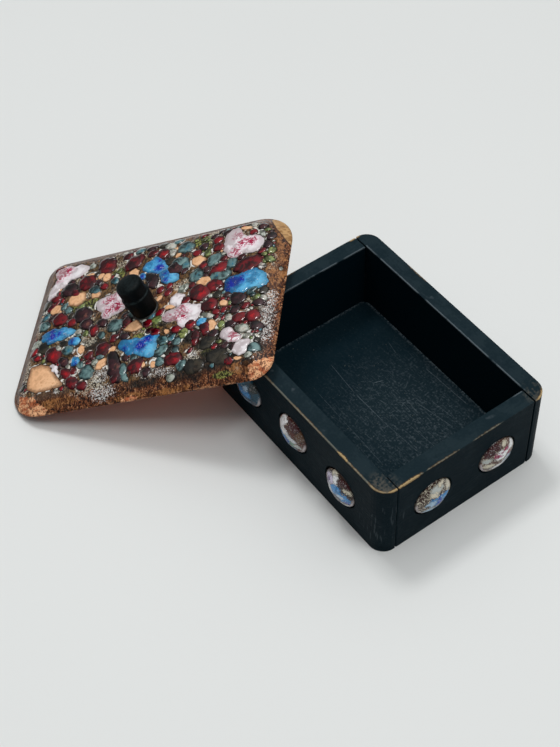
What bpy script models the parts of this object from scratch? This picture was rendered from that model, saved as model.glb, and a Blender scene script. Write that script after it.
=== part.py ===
"""Enamelled trinket box: a small painted wooden box with enamel discs, and its enamelled copper lid.

The box stands open on its underside. The lid is lifted off and leans against the box: its left edge
stands on the table and its hollow underside rests on one corner of the rim.

Units are metres, +Z is up. The origin is the centre of the box's underside, X runs along the box's
length and Y across it.
"""
import math

import bmesh
import bpy
from mathutils import Matrix, Vector

MM = 0.001

# Clearance between pieces that touch or are glued together
GAP = 0.3 * MM

# Wooden box
BOX_LENGTH = 93.5 * MM
BOX_WIDTH = 69.0 * MM
BOX_HEIGHT = 33.0 * MM
WALL = 6.0 * MM
FLOOR_THICKNESS = 6.0 * MM
FLOOR_CORNER_RADIUS = 3.0 * MM
BOX_CORNER_RADIUS = 5.6 * MM
BOX_ARRIS = 0.6 * MM

# Enamel discs set in round pockets in the walls
DISC_RADIUS = 7.4 * MM
DISC_EDGE = 1.0 * MM
DISC_CROWN = 2.6 * MM
POCKET_DEPTH = 1.2 * MM
POCKET_PLAY = 0.5 * MM
LONG_SIDE_DISC_COUNT = 3
END_DISC_COUNT = 2
LONG_SIDE_DISC_INSET = 21.25 * MM
END_DISC_INSET = 21.0 * MM

# The near long side's discs are set by hand: how far each lies over the middle of the wall
NEAR_DISC_LIFTS = (0.0, 1.1 * MM, -1.2 * MM)

# Lid: a pressed copper sheet, raised in the middle, hollow below
LID_LENGTH = 101.6 * MM
LID_WIDTH = 75.4 * MM
LID_CORNER_RADIUS = 11.5 * MM
LID_SHEET = 1.0 * MM
LID_MARGIN = 5.6 * MM
LID_RISE = 3.8 * MM
LID_CROWN = 1.0 * MM
LID_RIDGE_ROUND = 2.0 * MM
LID_RIM_ROUND = 0.25 * MM

# How the lid leans: the way up the slope seen in plan, and the rim corner's place under the lid,
# from the lid's upper end and from its long centre line
LEAN_HEADING = math.radians(47.0)
REST_FROM_END = 22.7 * MM
REST_OFF_CENTRE = -11.0 * MM

# Turned knob, glued to the lid a little off its centre and not quite square
KNOB_FOOT_RADIUS = 4.7 * MM
KNOB_SHOULDER_RADIUS = 5.25 * MM
KNOB_HEAD_RADIUS = 4.8 * MM
KNOB_BODY_HEIGHT = 7.8 * MM
KNOB_HEAD_HEIGHT = 5.9 * MM
KNOB_SHOULDER_ROUND = 0.6 * MM
KNOB_TOP_ROUND = 1.3 * MM
KNOB_TOP_CROWN = 0.4 * MM
KNOB_OFFSET = (-0.3 * MM, -0.8 * MM)
KNOB_LEAN = math.radians(1.8)
KNOB_LEAN_HEADING = math.radians(99.0)

# Facets
ARC_STEPS = 8
FIELD_RINGS = 5
DISC_SIDES = 28
POCKET_SIDES = 36
KNOB_SIDES = 32
CROWN_STEPS = 4
MERGE = 0.01 * MM
SHARP_ANGLE = math.radians(35)


def clear_scene():
    """Removes every object, so that the script can be run again in the same file."""
    for obj in list(bpy.data.objects):
        bpy.data.objects.remove(obj, do_unlink=True)


def new_collection(name):
    """Returns an empty collection linked to the scene."""
    collection = bpy.data.collections.get(name)
    if collection is None:
        collection = bpy.data.collections.new(name)
        bpy.context.scene.collection.children.link(collection)
    return collection


def principled(name, color, roughness, metallic=0.0, coat=0.0):
    """Returns a Principled material of one colour."""
    material = bpy.data.materials.new(name)
    material.use_nodes = True
    shader = material.node_tree.nodes["Principled BSDF"]
    shader.inputs["Base Color"].default_value = (*color, 1.0)
    shader.inputs["Roughness"].default_value = roughness
    shader.inputs["Metallic"].default_value = metallic
    shader.inputs["Coat Weight"].default_value = coat
    return material


def painted_wood():
    """Black paint over wood, worn satin."""
    return principled("painted_wood", (0.012, 0.017, 0.020), 0.55)


def lid_enamel():
    """Speckled brown enamel, the ground between the lid's coloured lumps."""
    return principled("lid_enamel", (0.20, 0.09, 0.045), 0.22, coat=0.6)


def disc_enamel():
    """Pale marbled enamel of the small discs."""
    return principled("disc_enamel", (0.42, 0.45, 0.50), 0.20, coat=0.6)


def knob_lacquer():
    """Black lacquer of the knob."""
    return principled("knob_lacquer", (0.008, 0.010, 0.011), 0.40)


def arc(centre, radius, start, end, steps=ARC_STEPS):
    """Points of an arc in the plane, from one angle to another, both in degrees."""
    points = []
    for step in range(steps + 1):
        angle = math.radians(start + (end - start) * step / steps)
        points.append((centre[0] + radius * math.cos(angle), centre[1] + radius * math.sin(angle)))
    return points


def rounded_rectangle(length, width, radius):
    """Outline of a rectangle with round corners, centred on the origin, anticlockwise."""
    x, y = length / 2 - radius, width / 2 - radius
    points = arc((x, y), radius, 0, 90)
    points += arc((-x, y), radius, 90, 180)
    points += arc((-x, -y), radius, 180, 270)
    points += arc((x, -y), radius, 270, 360)
    return points


def side_outline():
    """Plan of a long side: its two outer corners are round. The outer face is at Y = 0."""
    radius = min(BOX_CORNER_RADIUS, WALL - BOX_ARRIS / 2)
    half = BOX_LENGTH / 2
    points = arc((-half + radius, radius), radius, 180, 270)
    points += arc((half - radius, radius), radius, 270, 360)
    return points + [(half, WALL), (-half, WALL)]


def plank(name, outline, height, collection, material):
    """Makes a flat board from its plan: a filled curve of the board's height, turned into a mesh."""
    curve = bpy.data.curves.new(name, "CURVE")
    curve.dimensions = "2D"
    curve.fill_mode = "BOTH"
    curve.extrude = height / 2
    spline = curve.splines.new("POLY")
    spline.points.add(len(outline) - 1)
    for point, (x, y) in zip(spline.points, outline):
        point.co = (x, y, 0.0, 1.0)
    spline.use_cyclic_u = True
    pattern = bpy.data.objects.new(name + "_pattern", curve)
    collection.objects.link(pattern)
    pattern.location.z = height / 2
    bpy.context.view_layer.update()
    evaluated = pattern.evaluated_get(bpy.context.evaluated_depsgraph_get())
    mesh = bpy.data.meshes.new_from_object(evaluated)
    board = bpy.data.objects.new(name, mesh)
    board.matrix_world = pattern.matrix_world.copy()
    collection.objects.link(board)
    bpy.data.objects.remove(pattern)
    weld(mesh)
    mesh.name = name
    mesh.materials.clear()
    mesh.materials.append(material)
    soften(board, BOX_ARRIS)
    return board


def weld(mesh):
    """Joins vertices that lie on each other and points every face outwards."""
    work = bmesh.new()
    work.from_mesh(mesh)
    bmesh.ops.remove_doubles(work, verts=work.verts, dist=MERGE)
    bmesh.ops.recalc_face_normals(work, faces=work.faces)
    work.to_mesh(mesh)
    work.free()


def soften(obj, width, angle=60, segments=2):
    """Rounds the edges of an object that are sharper than an angle in degrees."""
    bevel = obj.modifiers.new("soft_edges", "BEVEL")
    bevel.width = width
    bevel.segments = segments
    bevel.limit_method = "ANGLE"
    bevel.angle_limit = math.radians(angle)


def turned(name, profile, sides, collection, material):
    """Makes a turned piece from a profile of (radius, height) points, listed top to bottom."""
    work = bmesh.new()
    verts = [work.verts.new((radius, 0.0, height)) for radius, height in profile]
    for first, second in zip(verts, verts[1:]):
        work.edges.new((first, second))
    mesh = bpy.data.meshes.new(name)
    work.to_mesh(mesh)
    work.free()
    mesh.materials.append(material)
    obj = bpy.data.objects.new(name, mesh)
    collection.objects.link(obj)
    screw = obj.modifiers.new("turning", "SCREW")
    screw.steps = sides
    screw.render_steps = sides
    screw.use_merge_vertices = True
    screw.merge_threshold = MERGE
    screw.use_smooth_shade = True
    return obj


def shade(obj):
    """Smooth shading on the round stretches, crisp edges elsewhere."""
    obj.data.shade_smooth()
    obj.data.set_sharp_from_angle(angle=SHARP_ANGLE)


def crown_profile(radius, edge, crown):
    """Profile of a domed disc: a spherical crown over a straight edge, closed flat below."""
    sphere = (radius * radius + crown * crown) / (2 * crown)
    spread = math.asin(radius / sphere)
    profile = []
    for step in range(CROWN_STEPS + 1):
        angle = spread * step / CROWN_STEPS
        profile.append((sphere * math.sin(angle), edge + crown - sphere * (1 - math.cos(angle))))
    return profile + [(radius, 0.0), (0.0, 0.0)]


def disc_row(length, inset, count):
    """Evenly spaced places along a wall, the first and last inset from the box's corners."""
    pitch = (length - 2 * inset) / (count - 1)
    return [inset - length / 2 + index * pitch for index in range(count)]


def disc_places():
    """Place and outward direction of every disc, by the name of its wall."""
    places = {}
    level = (0.0,) * LONG_SIDE_DISC_COUNT
    for wall, facing, lifts in (("near", -1, NEAR_DISC_LIFTS), ("far", 1, level)):
        row = disc_row(BOX_LENGTH, LONG_SIDE_DISC_INSET, LONG_SIDE_DISC_COUNT)
        for x, lift in zip(row, lifts):
            spot = Vector((x, facing * BOX_WIDTH / 2, BOX_HEIGHT / 2 + lift))
            places.setdefault(wall, []).append((spot, Vector((0, facing, 0))))
    for wall, facing in (("left", -1), ("right", 1)):
        for y in disc_row(BOX_WIDTH, END_DISC_INSET, END_DISC_COUNT):
            spot = Vector((facing * BOX_LENGTH / 2, y, BOX_HEIGHT / 2))
            places.setdefault(wall, []).append((spot, Vector((facing, 0, 0))))
    return places


def facing_out(spot, outward):
    """Matrix that stands a turned piece on a wall, its axis along the outward direction."""
    return Matrix.Translation(spot) @ outward.to_track_quat("Z", "Y").to_matrix().to_4x4()


def cut_pockets(board, places, cutters):
    """Cuts one round pocket in a board for each disc that it carries."""
    for number, (spot, outward) in enumerate(places, start=1):
        bpy.ops.mesh.primitive_cylinder_add(
            vertices=POCKET_SIDES, radius=DISC_RADIUS + POCKET_PLAY, depth=2 * POCKET_DEPTH)
        cutter = bpy.context.object
        cutter.name = f"{board.name}_pocket_{number}"
        for collection in list(cutter.users_collection):
            collection.objects.unlink(cutter)
        cutters.objects.link(cutter)
        cutter.matrix_world = facing_out(spot, outward)
        cutter.hide_render = True
        cutter.display_type = "WIRE"
        cut = board.modifiers.new(f"pocket_{number}", "BOOLEAN")
        cut.operation = "DIFFERENCE"
        cut.solver = "EXACT"
        cut.object = cutter


def make_walls(collection, cutters, material):
    """The two long sides and the two ends between them, with the pockets for their discs."""
    places = disc_places()
    for name, turn, wall in (("long_side_near", 0.0, "near"), ("long_side_far", math.pi, "far")):
        side = plank(name, side_outline(), BOX_HEIGHT, collection, material)
        stand = Matrix.Translation((0, -BOX_WIDTH / 2, 0))
        side.matrix_world = Matrix.Rotation(turn, 4, "Z") @ stand @ side.matrix_world
        cut_pockets(side, places[wall], cutters)
        shade(side)
    reach = BOX_WIDTH / 2 - WALL - GAP
    plan = [(0, -reach), (WALL, -reach), (WALL, reach), (0, reach)]
    for name, turn, wall in (("end_left", 0.0, "left"), ("end_right", math.pi, "right")):
        end = plank(name, plan, BOX_HEIGHT, collection, material)
        stand = Matrix.Translation((-BOX_LENGTH / 2, 0, 0))
        end.matrix_world = Matrix.Rotation(turn, 4, "Z") @ stand @ end.matrix_world
        cut_pockets(end, places[wall], cutters)
        shade(end)


def make_floor(collection, material):
    """The bottom board, let in between the four walls and flush with their lower edges."""
    length = BOX_LENGTH - 2 * (WALL + GAP)
    width = BOX_WIDTH - 2 * (WALL + GAP)
    outline = rounded_rectangle(length, width, FLOOR_CORNER_RADIUS)
    floor = plank("floor_board", outline, FLOOR_THICKNESS, collection, material)
    shade(floor)


def make_discs(collection, material):
    """The enamel discs, bedded in their pockets, three on a long side and two on an end."""
    bed = -POCKET_DEPTH + GAP
    for wall, places in disc_places().items():
        for number, (spot, outward) in enumerate(places, start=1):
            profile = crown_profile(DISC_RADIUS, DISC_EDGE, DISC_CROWN)
            disc = turned(f"disc_{wall}_{number}", profile, DISC_SIDES, collection, material)
            disc.matrix_world = facing_out(spot + outward * bed, outward)
            shade(disc)


def margin_slope():
    """Angle of the lid's sloping margin."""
    return math.atan2(LID_RISE, LID_MARGIN)


def rim_inset():
    """How far the rim's lower edge lies inside its upper edge, since the margin slopes."""
    return LID_SHEET * math.sin(margin_slope())


def rim_height():
    """Height of the rim's upper edge over its lower edge, on which the lid stands."""
    return LID_SHEET * math.cos(margin_slope())


def field_height():
    """Height of the lid's raised field over the rim's lower edge."""
    return rim_height() + LID_RISE


def crown_height(share):
    """Height of the field's gentle crown, by the share of the way from its middle to its edge."""
    return LID_CROWN * (1 - share ** 2)


def crown_at(x, y):
    """Height of the crown at a place on the lid, measured from its middle."""
    along = abs(x) / (LID_LENGTH / 2 - LID_MARGIN)
    across = abs(y) / (LID_WIDTH / 2 - LID_MARGIN)
    return crown_height(max(along, across))


def lean():
    """Slope of the lid and distance on the table from its standing edge to the rim corner."""
    along = LID_LENGTH - REST_FROM_END - rim_inset()
    crown = crown_at(LID_LENGTH / 2 - REST_FROM_END, REST_OFF_CENTRE)
    hollow = field_height() + crown - LID_SHEET - GAP
    reach = math.sqrt(along ** 2 + hollow ** 2 - BOX_HEIGHT ** 2)
    return math.atan2(BOX_HEIGHT, reach) - math.atan2(hollow, along), reach


def rim_corner():
    """The point of the rim's round left corner that carries the lid, in plan."""
    radius = min(BOX_CORNER_RADIUS, WALL - BOX_ARRIS / 2)
    centre = Vector((-BOX_LENGTH / 2 + radius, -BOX_WIDTH / 2 + radius, 0))
    uphill = Vector((math.cos(LEAN_HEADING), math.sin(LEAN_HEADING), 0))
    return centre - uphill * radius, uphill


def make_lid_seat(collection):
    """Empty on the lid's standing edge: X runs up the slope, Z square out of the lid."""
    slope, reach = lean()
    corner, uphill = rim_corner()
    across = Vector((-uphill.y, uphill.x, 0))
    seat = bpy.data.objects.new("lid_seat", None)
    seat.location = corner - uphill * reach - across * REST_OFF_CENTRE
    seat.rotation_euler = (0, -slope, LEAN_HEADING)
    collection.objects.link(seat)
    return seat


def make_lid(seat, collection, material):
    """The pressed lid: the outline, inset and lifted to the field, and given its thickness."""
    work = bmesh.new()
    outline = rounded_rectangle(LID_LENGTH, LID_WIDTH, LID_CORNER_RADIUS)
    sheet = work.faces.new([work.verts.new((x, y, 0)) for x, y in outline])
    bmesh.ops.remove_doubles(work, verts=work.verts, dist=MERGE)
    bmesh.ops.inset_region(
        work, faces=[sheet], thickness=LID_MARGIN, depth=LID_RISE,
        use_boundary=True, use_even_offset=True)
    for ring in range(1, FIELD_RINGS):
        share = 1 - ring / FIELD_RINGS
        bmesh.ops.inset_region(work, faces=[sheet], use_boundary=True)
        for vert in sheet.verts:
            outer = share + 1 / FIELD_RINGS
            vert.co.x *= share / outer
            vert.co.y *= share / outer
            vert.co.z = LID_RISE + crown_height(share)
    mesh = bpy.data.meshes.new("lid")
    work.to_mesh(mesh)
    work.free()
    mesh.materials.append(material)
    lid = bpy.data.objects.new("lid", mesh)
    collection.objects.link(lid)
    lid.parent = seat
    lid.location = (LID_LENGTH / 2 - rim_inset(), 0, rim_height())
    soften(lid, LID_RIDGE_ROUND, angle=20, segments=4)
    pressing = lid.modifiers.new("sheet", "SOLIDIFY")
    pressing.thickness = LID_SHEET
    pressing.offset = -1.0
    pressing.use_even_offset = True
    soften(lid, LID_RIM_ROUND)
    shade(lid)


def knob_profile():
    """Profile of the knob: a body that widens to a round shoulder, and a head with a low crown."""
    shoulder = KNOB_BODY_HEIGHT - KNOB_SHOULDER_ROUND
    top = KNOB_BODY_HEIGHT + KNOB_HEAD_HEIGHT - KNOB_TOP_CROWN
    brow = (KNOB_HEAD_RADIUS - KNOB_TOP_ROUND, top - KNOB_TOP_ROUND)
    profile = [(0.0, top + KNOB_TOP_CROWN)]
    profile += arc(brow, KNOB_TOP_ROUND, 90, 0, CROWN_STEPS)
    profile.append((KNOB_HEAD_RADIUS, KNOB_BODY_HEIGHT))
    bulge = (KNOB_SHOULDER_RADIUS - KNOB_SHOULDER_ROUND, shoulder)
    profile += arc(bulge, KNOB_SHOULDER_ROUND, 60, 0, CROWN_STEPS)
    return profile + [(KNOB_FOOT_RADIUS, 0.0), (0.0, 0.0)]


def make_knob(seat, collection, material):
    """The turned knob, standing near the middle of the lid's field."""
    knob = turned("knob", knob_profile(), KNOB_SIDES, collection, material)
    knob.parent = seat
    lift = GAP + KNOB_FOOT_RADIUS * math.sin(KNOB_LEAN)
    x = LID_LENGTH / 2 - rim_inset() + KNOB_OFFSET[0]
    knob.location = (x, KNOB_OFFSET[1], field_height() + crown_height(0) + lift)
    axis = Vector((-math.sin(KNOB_LEAN_HEADING), math.cos(KNOB_LEAN_HEADING), 0))
    knob.rotation_mode = "QUATERNION"
    knob.rotation_quaternion = Matrix.Rotation(KNOB_LEAN, 3, axis).to_quaternion()
    shade(knob)


def main():
    """Builds the box, its discs, the leaning lid and the knob."""
    clear_scene()
    parts = new_collection("enamel_box")
    cutters = new_collection("cutters")
    wood = painted_wood()
    make_walls(parts, cutters, wood)
    make_floor(parts, wood)
    make_discs(parts, disc_enamel())
    seat = make_lid_seat(parts)
    make_lid(seat, parts, lid_enamel())
    make_knob(seat, parts, knob_lacquer())
    bpy.context.view_layer.update()


main()
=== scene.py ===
"""Looks of the enamelled trinket box: worn black paint, glassy enamel lumps on copper, a lacquered knob.

Lengths are in millimetres in the fields and lists below and become metres when a mesh is made. The box
stands on its underside with the origin at the middle of it, X along the box and Y across it. The lid has
its own frame: X from its standing edge to its raised end, Y across, Z square out of it.
"""

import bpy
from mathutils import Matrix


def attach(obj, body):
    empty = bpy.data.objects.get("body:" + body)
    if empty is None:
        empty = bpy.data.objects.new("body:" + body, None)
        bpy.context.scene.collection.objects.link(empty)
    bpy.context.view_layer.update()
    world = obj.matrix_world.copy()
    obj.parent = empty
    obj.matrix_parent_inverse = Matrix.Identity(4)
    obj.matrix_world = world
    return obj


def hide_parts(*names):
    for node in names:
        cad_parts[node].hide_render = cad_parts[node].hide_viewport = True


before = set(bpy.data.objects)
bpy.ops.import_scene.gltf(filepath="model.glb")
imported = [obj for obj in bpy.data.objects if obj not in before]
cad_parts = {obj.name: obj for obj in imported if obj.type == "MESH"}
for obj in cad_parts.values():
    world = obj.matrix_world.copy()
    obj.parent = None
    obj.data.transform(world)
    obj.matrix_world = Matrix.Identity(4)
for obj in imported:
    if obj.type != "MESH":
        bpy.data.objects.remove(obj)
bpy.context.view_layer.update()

import logging
import math
from dataclasses import dataclass, field
from enum import Enum
from typing import Dict, List, Optional, Sequence, Tuple, Union

import bpy
import numpy as np
from mathutils import Matrix, Vector

log = logging.getLogger("enamel_box")

MM = 0.001
Colour = Tuple[float, float, float]
Place = Tuple[float, float, float]
Point = Tuple[float, float]
Circle = Tuple[float, float, float]
Patch = Tuple[float, float, float, float]
Array = np.ndarray
FAR = 99.0
CLEAR = 9.0
BROAD_DROP = 1.2


def paint(red: float, green: float, blue: float) -> Colour:
    """Turns a colour as the eye reads it, 0 to 255, into the shader's linear values."""
    def linear(level: float) -> float:
        """Linear value of one channel."""
        share = level / 255
        return share / 12.92 if share <= 0.04045 else ((share + 0.055) / 1.055) ** 2.4

    return (linear(red), linear(green), linear(blue))


# Shader wiring

class Signal:
    """The output of a shader node, for use in arithmetic. Every operator adds one Math node."""

    def __init__(self, bench: "Bench", socket: bpy.types.NodeSocket) -> None:
        """Keeps the socket and the bench that wires it."""
        self.bench = bench
        self.socket = socket

    def _math(self, operation: str, *values: "Term") -> "Signal":
        """Adds one Math node that works on the values."""
        return self.bench.node("ShaderNodeMath", {"operation": operation}, dict(enumerate(values)))

    def __add__(self, other: "Term") -> "Signal":
        """Sum."""
        return self._math("ADD", self, other)

    __radd__ = __add__

    def __sub__(self, other: "Term") -> "Signal":
        """Difference."""
        return self._math("SUBTRACT", self, other)

    def __rsub__(self, other: "Term") -> "Signal":
        """Difference from a plain number."""
        return self._math("SUBTRACT", other, self)

    def __mul__(self, other: "Term") -> "Signal":
        """Product."""
        return self._math("MULTIPLY", self, other)

    __rmul__ = __mul__

    def __truediv__(self, other: "Term") -> "Signal":
        """Quotient."""
        return self._math("DIVIDE", self, other)

    def __pow__(self, other: "Term") -> "Signal":
        """Power."""
        return self._math("POWER", self, other)

    def __abs__(self) -> "Signal":
        """Distance from zero."""
        return self._math("ABSOLUTE", self)

    def least(self, other: "Term") -> "Signal":
        """The smaller of two."""
        return self._math("MINIMUM", self, other)

    def most(self, other: "Term") -> "Signal":
        """The larger of two."""
        return self._math("MAXIMUM", self, other)

    def rise(self, start: float, end: float) -> "Signal":
        """Smooth step from 0 at start to 1 at end, which may lie below start.

        Args:
            start: Value that gives 0.
            end: Value that gives 1.

        Returns:
            The smooth mask.
        """
        settings = {"interpolation_type": "SMOOTHSTEP"}
        return self.bench.node("ShaderNodeMapRange", settings, {0: self, 1: start, 2: end})


Term = Union[Signal, float]
Tint = Union[Signal, Colour]


class Bench:
    """The workbench of one material: it adds nodes, wires them and feeds the shader."""

    def __init__(self, name: str) -> None:
        """Starts an empty Principled material."""
        self.material = bpy.data.materials.new(name)
        self.material.use_nodes = True
        self.tree = self.material.node_tree
        self.shader = self.tree.nodes["Principled BSDF"]

    def node(self, kind: str, settings: Optional[dict] = None, inputs: Optional[dict] = None,
             output: Union[int, str] = 0) -> Signal:
        """Adds any node.

        Args:
            kind: The node's type.
            settings: Its own settings, which are set first.
            inputs: Values or signals by the number or name of their socket.
            output: Which output to hand back.

        Returns:
            The signal of that output.
        """
        made = self.tree.nodes.new(kind)
        for key, value in (settings or {}).items():
            setattr(made, key, value)
        for key, value in (inputs or {}).items():
            self.feed(made.inputs[key], value)
        return Signal(self, made.outputs[output])

    def feed(self, socket: bpy.types.NodeSocket, value: Union[Signal, float, Colour]) -> None:
        """Links a signal to a socket, or sets a plain value or colour on it."""
        if isinstance(value, Signal):
            self.tree.links.new(value.socket, socket)
        elif isinstance(value, tuple) and socket.type == "RGBA":
            socket.default_value = (*value, 1.0)
        else:
            socket.default_value = value

    def finish(self, **values: Union[Signal, float, Colour]) -> None:
        """Feeds the shader's sockets, named with underscores for spaces."""
        for key, value in values.items():
            self.feed(self.shader.inputs[key.replace("_", " ").title().replace("Ior", "IOR")], value)

    def mix(self, base: Tint, top: Tint, share: Term) -> Signal:
        """Lays one colour over another by a share from 0 to 1."""
        settings = {"data_type": "RGBA", "clamp_factor": True}
        return self.node("ShaderNodeMix", settings, {0: share, 6: base, 7: top}, 2)

    def attribute(self, name: str, output: str = "Fac") -> Signal:
        """Reads a value that the mesh carries at its vertices."""
        return self.node("ShaderNodeAttribute", {"attribute_name": name}, None, output)

    def place(self) -> Signal:
        """Where a point is, in millimetres in the box's frame."""
        metres = self.node("ShaderNodeTexCoord", None, None, "Object")
        return self.stretch(metres, (1 / MM, 1 / MM, 1 / MM))

    def stretch(self, where: Signal, by: Place) -> Signal:
        """Scales a place along its three axes."""
        return self.node("ShaderNodeVectorMath", {"operation": "MULTIPLY"}, {0: where, 1: by})

    def split(self, where: Signal) -> Tuple[Signal, Signal, Signal]:
        """The three coordinates of a place."""
        first = self.node("ShaderNodeSeparateXYZ", None, {0: where})
        outputs = first.socket.node.outputs
        return first, Signal(self, outputs[1]), Signal(self, outputs[2])

    def distance(self, where: Signal, spot: Place) -> Signal:
        """Distance from a fixed spot."""
        return self.node("ShaderNodeVectorMath", {"operation": "DISTANCE"}, {0: where, 1: spot}, "Value")

    def nearness(self, where: Signal, spots: Sequence[Tuple[Place, float, float]]) -> Signal:
        """How near places are to the nearest of some spots.

        Args:
            where: Place in millimetres.
            spots: Place, reach and strength of each spot.

        Returns:
            The strength of the nearest spot, which fades out over its reach.
        """
        nearest = None
        for spot, reach, strength in spots:
            near = self.distance(where, spot).rise(reach, reach * 0.25) * strength
            nearest = nearest.most(near) if nearest else near
        return nearest

    def noise(self, where: Signal, size: float, detail: float = 2.0, shift: Term = 0.0,
              bend: float = 0.0) -> Signal:
        """Soft random pattern about 0.5.

        Args:
            where: Place in millimetres.
            size: Size of its patches in millimetres.
            detail: Octaves of finer grain.
            shift: Moves the pattern on, such as by a lump's own number.
            bend: How much the pattern is twisted.

        Returns:
            The pattern.
        """
        return self.node("ShaderNodeTexNoise", {"noise_dimensions": "4D"}, {
            "Vector": where, "Scale": 1 / size, "Detail": detail, "W": shift, "Distortion": bend})

    def cells(self, where: Signal, size: float, feature: str = "DISTANCE_TO_EDGE") -> Signal:
        """Distance to the edge, or to the middle, of random cells of a size in millimetres."""
        return self.node("ShaderNodeTexVoronoi", {"feature": feature}, {
            "Vector": where, "Scale": 1 / size}, "Distance")

    def scratch(self, where: Signal, start: Place, end: Place, width: float) -> Signal:
        """Mask of one straight scratch.

        Args:
            where: Place in millimetres.
            start: One end of the scratch.
            end: Its other end.
            width: Half its width.

        Returns:
            The mask, 1 on the scratch.
        """
        along = Vector(end) - Vector(start)
        length = along.length
        offset = self.node("ShaderNodeVectorMath", {"operation": "SUBTRACT"}, {0: where, 1: start})
        travel = self.node("ShaderNodeVectorMath", {"operation": "DOT_PRODUCT"}, {
            0: offset, 1: tuple(along / length)}, "Value")
        reach = self.node("ShaderNodeVectorMath", {"operation": "LENGTH"}, {0: offset}, "Value")
        aside = (reach * reach - travel * travel).most(0.0) ** 0.5
        inside = travel.rise(0.0, 2.0) * travel.rise(length, length - 2.0)
        return aside.rise(width, width * 0.3) * inside

    def bump(self, height: Term, depth: float, strength: float = 1.0) -> None:
        """Feeds a relief of a depth in millimetres to the shader's Normal."""
        self.finish(normal=self.node("ShaderNodeBump", None, {
            "Height": height, "Distance": depth * MM, "Strength": strength}))


# Random fields and meshes

def grain(x: Array, y: Array, size: float, seed: int) -> Array:
    """Smooth random field between -1 and 1, the same at every run.

    Args:
        x: First coordinates.
        y: Second coordinates.
        size: Size of the patches, in the same unit.
        seed: Which of the fields.

    Returns:
        The field at each point.
    """
    u, v = x / size, y / size
    column, row = np.floor(u).astype(np.int64), np.floor(v).astype(np.int64)
    across, up = u - column, v - row
    across, up = across * across * (3 - 2 * across), up * up * (3 - 2 * up)

    def knot(i: Array, j: Array) -> Array:
        """Random level of a knot of the lattice."""
        number = (i * 374761 + j * 668265 + seed * 98245) & 0x7FFFFFF
        number = ((number ^ (number >> 13)) * 12741) & 0x7FFFFFF
        number = ((number ^ (number >> 9)) * 60493) & 0x7FFFFFF
        return (number ^ (number >> 15)) / 0x7FFFFFF * 2 - 1

    low = knot(column, row) * (1 - across) + knot(column + 1, row) * across
    high = knot(column, row + 1) * (1 - across) + knot(column + 1, row + 1) * across
    return low * (1 - up) + high * up


def layered(x: Array, y: Array, size: float, seed: int, octaves: int = 3) -> Array:
    """Random field with finer and finer grain."""
    total = np.zeros_like(x, dtype=float)
    for octave in range(octaves):
        total += grain(x, y, size / 2 ** octave, seed + octave) / 2 ** octave
    return total / (2 - 2 ** (1 - octaves))


def step(values: Array, start: float, end: float) -> Array:
    """Smooth step of an array from 0 at start to 1 at end."""
    share = np.clip((values - start) / (end - start), 0, 1)
    return share * share * (3 - 2 * share)


@dataclass
class Shell:
    """Vertices, faces and vertex values that grow into one mesh."""
    points: List[Array] = field(default_factory=list)
    faces: List[List[int]] = field(default_factory=list)
    values: Dict[str, List[Array]] = field(default_factory=dict)
    count: int = 0

    def add(self, points: Array, faces: Sequence[Sequence[int]], **values: Array) -> None:
        """Adds a patch.

        Args:
            points: Its vertices, one row each, in millimetres.
            faces: Its faces by vertex numbers that start at 0.
            values: One number or one vector for each vertex, by name.
        """
        self.points.append(points)
        self.faces += [[index + self.count for index in face] for face in faces]
        for name, value in values.items():
            self.values.setdefault(name, []).append(value)
        self.count += len(points)

    def make(self, name: str, material: bpy.types.Material, place: Matrix, slot: str,
             replaces: Sequence[str] = ()) -> bpy.types.Object:
        """Makes the object, smooth, in its finish, riding on the part.

        Args:
            name: The piece's name.
            material: Its finish.
            place: Where its frame stands, in metres.
            slot: Not used.
            replaces: The nodes that it stands for.

        Returns:
            The object.
        """
        points = np.concatenate(self.points)
        mesh = bpy.data.meshes.new(name)
        metres = points * MM @ np.array(place.to_3x3()).T + np.array(place.translation)
        mesh.from_pydata(metres.tolist(), [], self.faces)
        for key, parts in self.values.items():
            data = np.concatenate(parts)
            kind = "FLOAT" if data.ndim == 1 else "FLOAT_VECTOR"
            layer = mesh.attributes.new(key, kind, "POINT")
            layer.data.foreach_set("value" if data.ndim == 1 else "vector", data.ravel())
        mesh.validate()
        mesh.shade_smooth()
        mesh.materials.append(material)
        return settle(bpy.data.objects.new(name, mesh), replaces)


def settle(piece: bpy.types.Object, replaces: Sequence[str] = ()) -> bpy.types.Object:
    """Links a piece, lets it ride on the part and hides the nodes that it stands for."""
    bpy.context.scene.collection.objects.link(piece)
    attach(piece, "root")
    if replaces:
        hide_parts(*replaces)
    piece.data.calc_loop_triangles()
    log.info("%s: %d triangles, finish %s", piece.name, len(piece.data.loop_triangles),
             piece.data.materials[0].name)
    return piece


def ring_faces(rings: int, spokes: int, first: int = 1) -> List[List[int]]:
    """Faces of a fan about vertex 0 and of the rings of quads outside it."""
    faces = [[0, first + spoke, first + (spoke + 1) % spokes] for spoke in range(spokes)]
    for ring in range(rings - 1):
        inner, outer = first + ring * spokes, first + (ring + 1) * spokes
        for spoke in range(spokes):
            after = (spoke + 1) % spokes
            faces.append([inner + spoke, outer + spoke, outer + after, inner + after])
    return faces


# The wooden box

@dataclass(frozen=True)
class WornPaint:
    """Black satin paint on wood: grey where rubbed and as painted sheen on top, ochre where worn through."""
    black: Colour = paint(5, 25, 33)
    slate_and_sheen: Colour = paint(31, 45, 51)
    dust_and_reflection: Colour = paint(92, 102, 108)
    chalk: Colour = paint(120, 121, 110)
    rubbed: Colour = paint(88, 85, 78)
    cream: Colour = paint(176, 152, 112)
    raw_wood: Colour = paint(112, 84, 50)
    roughness: float = 0.46
    shine: float = 0.035


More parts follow.
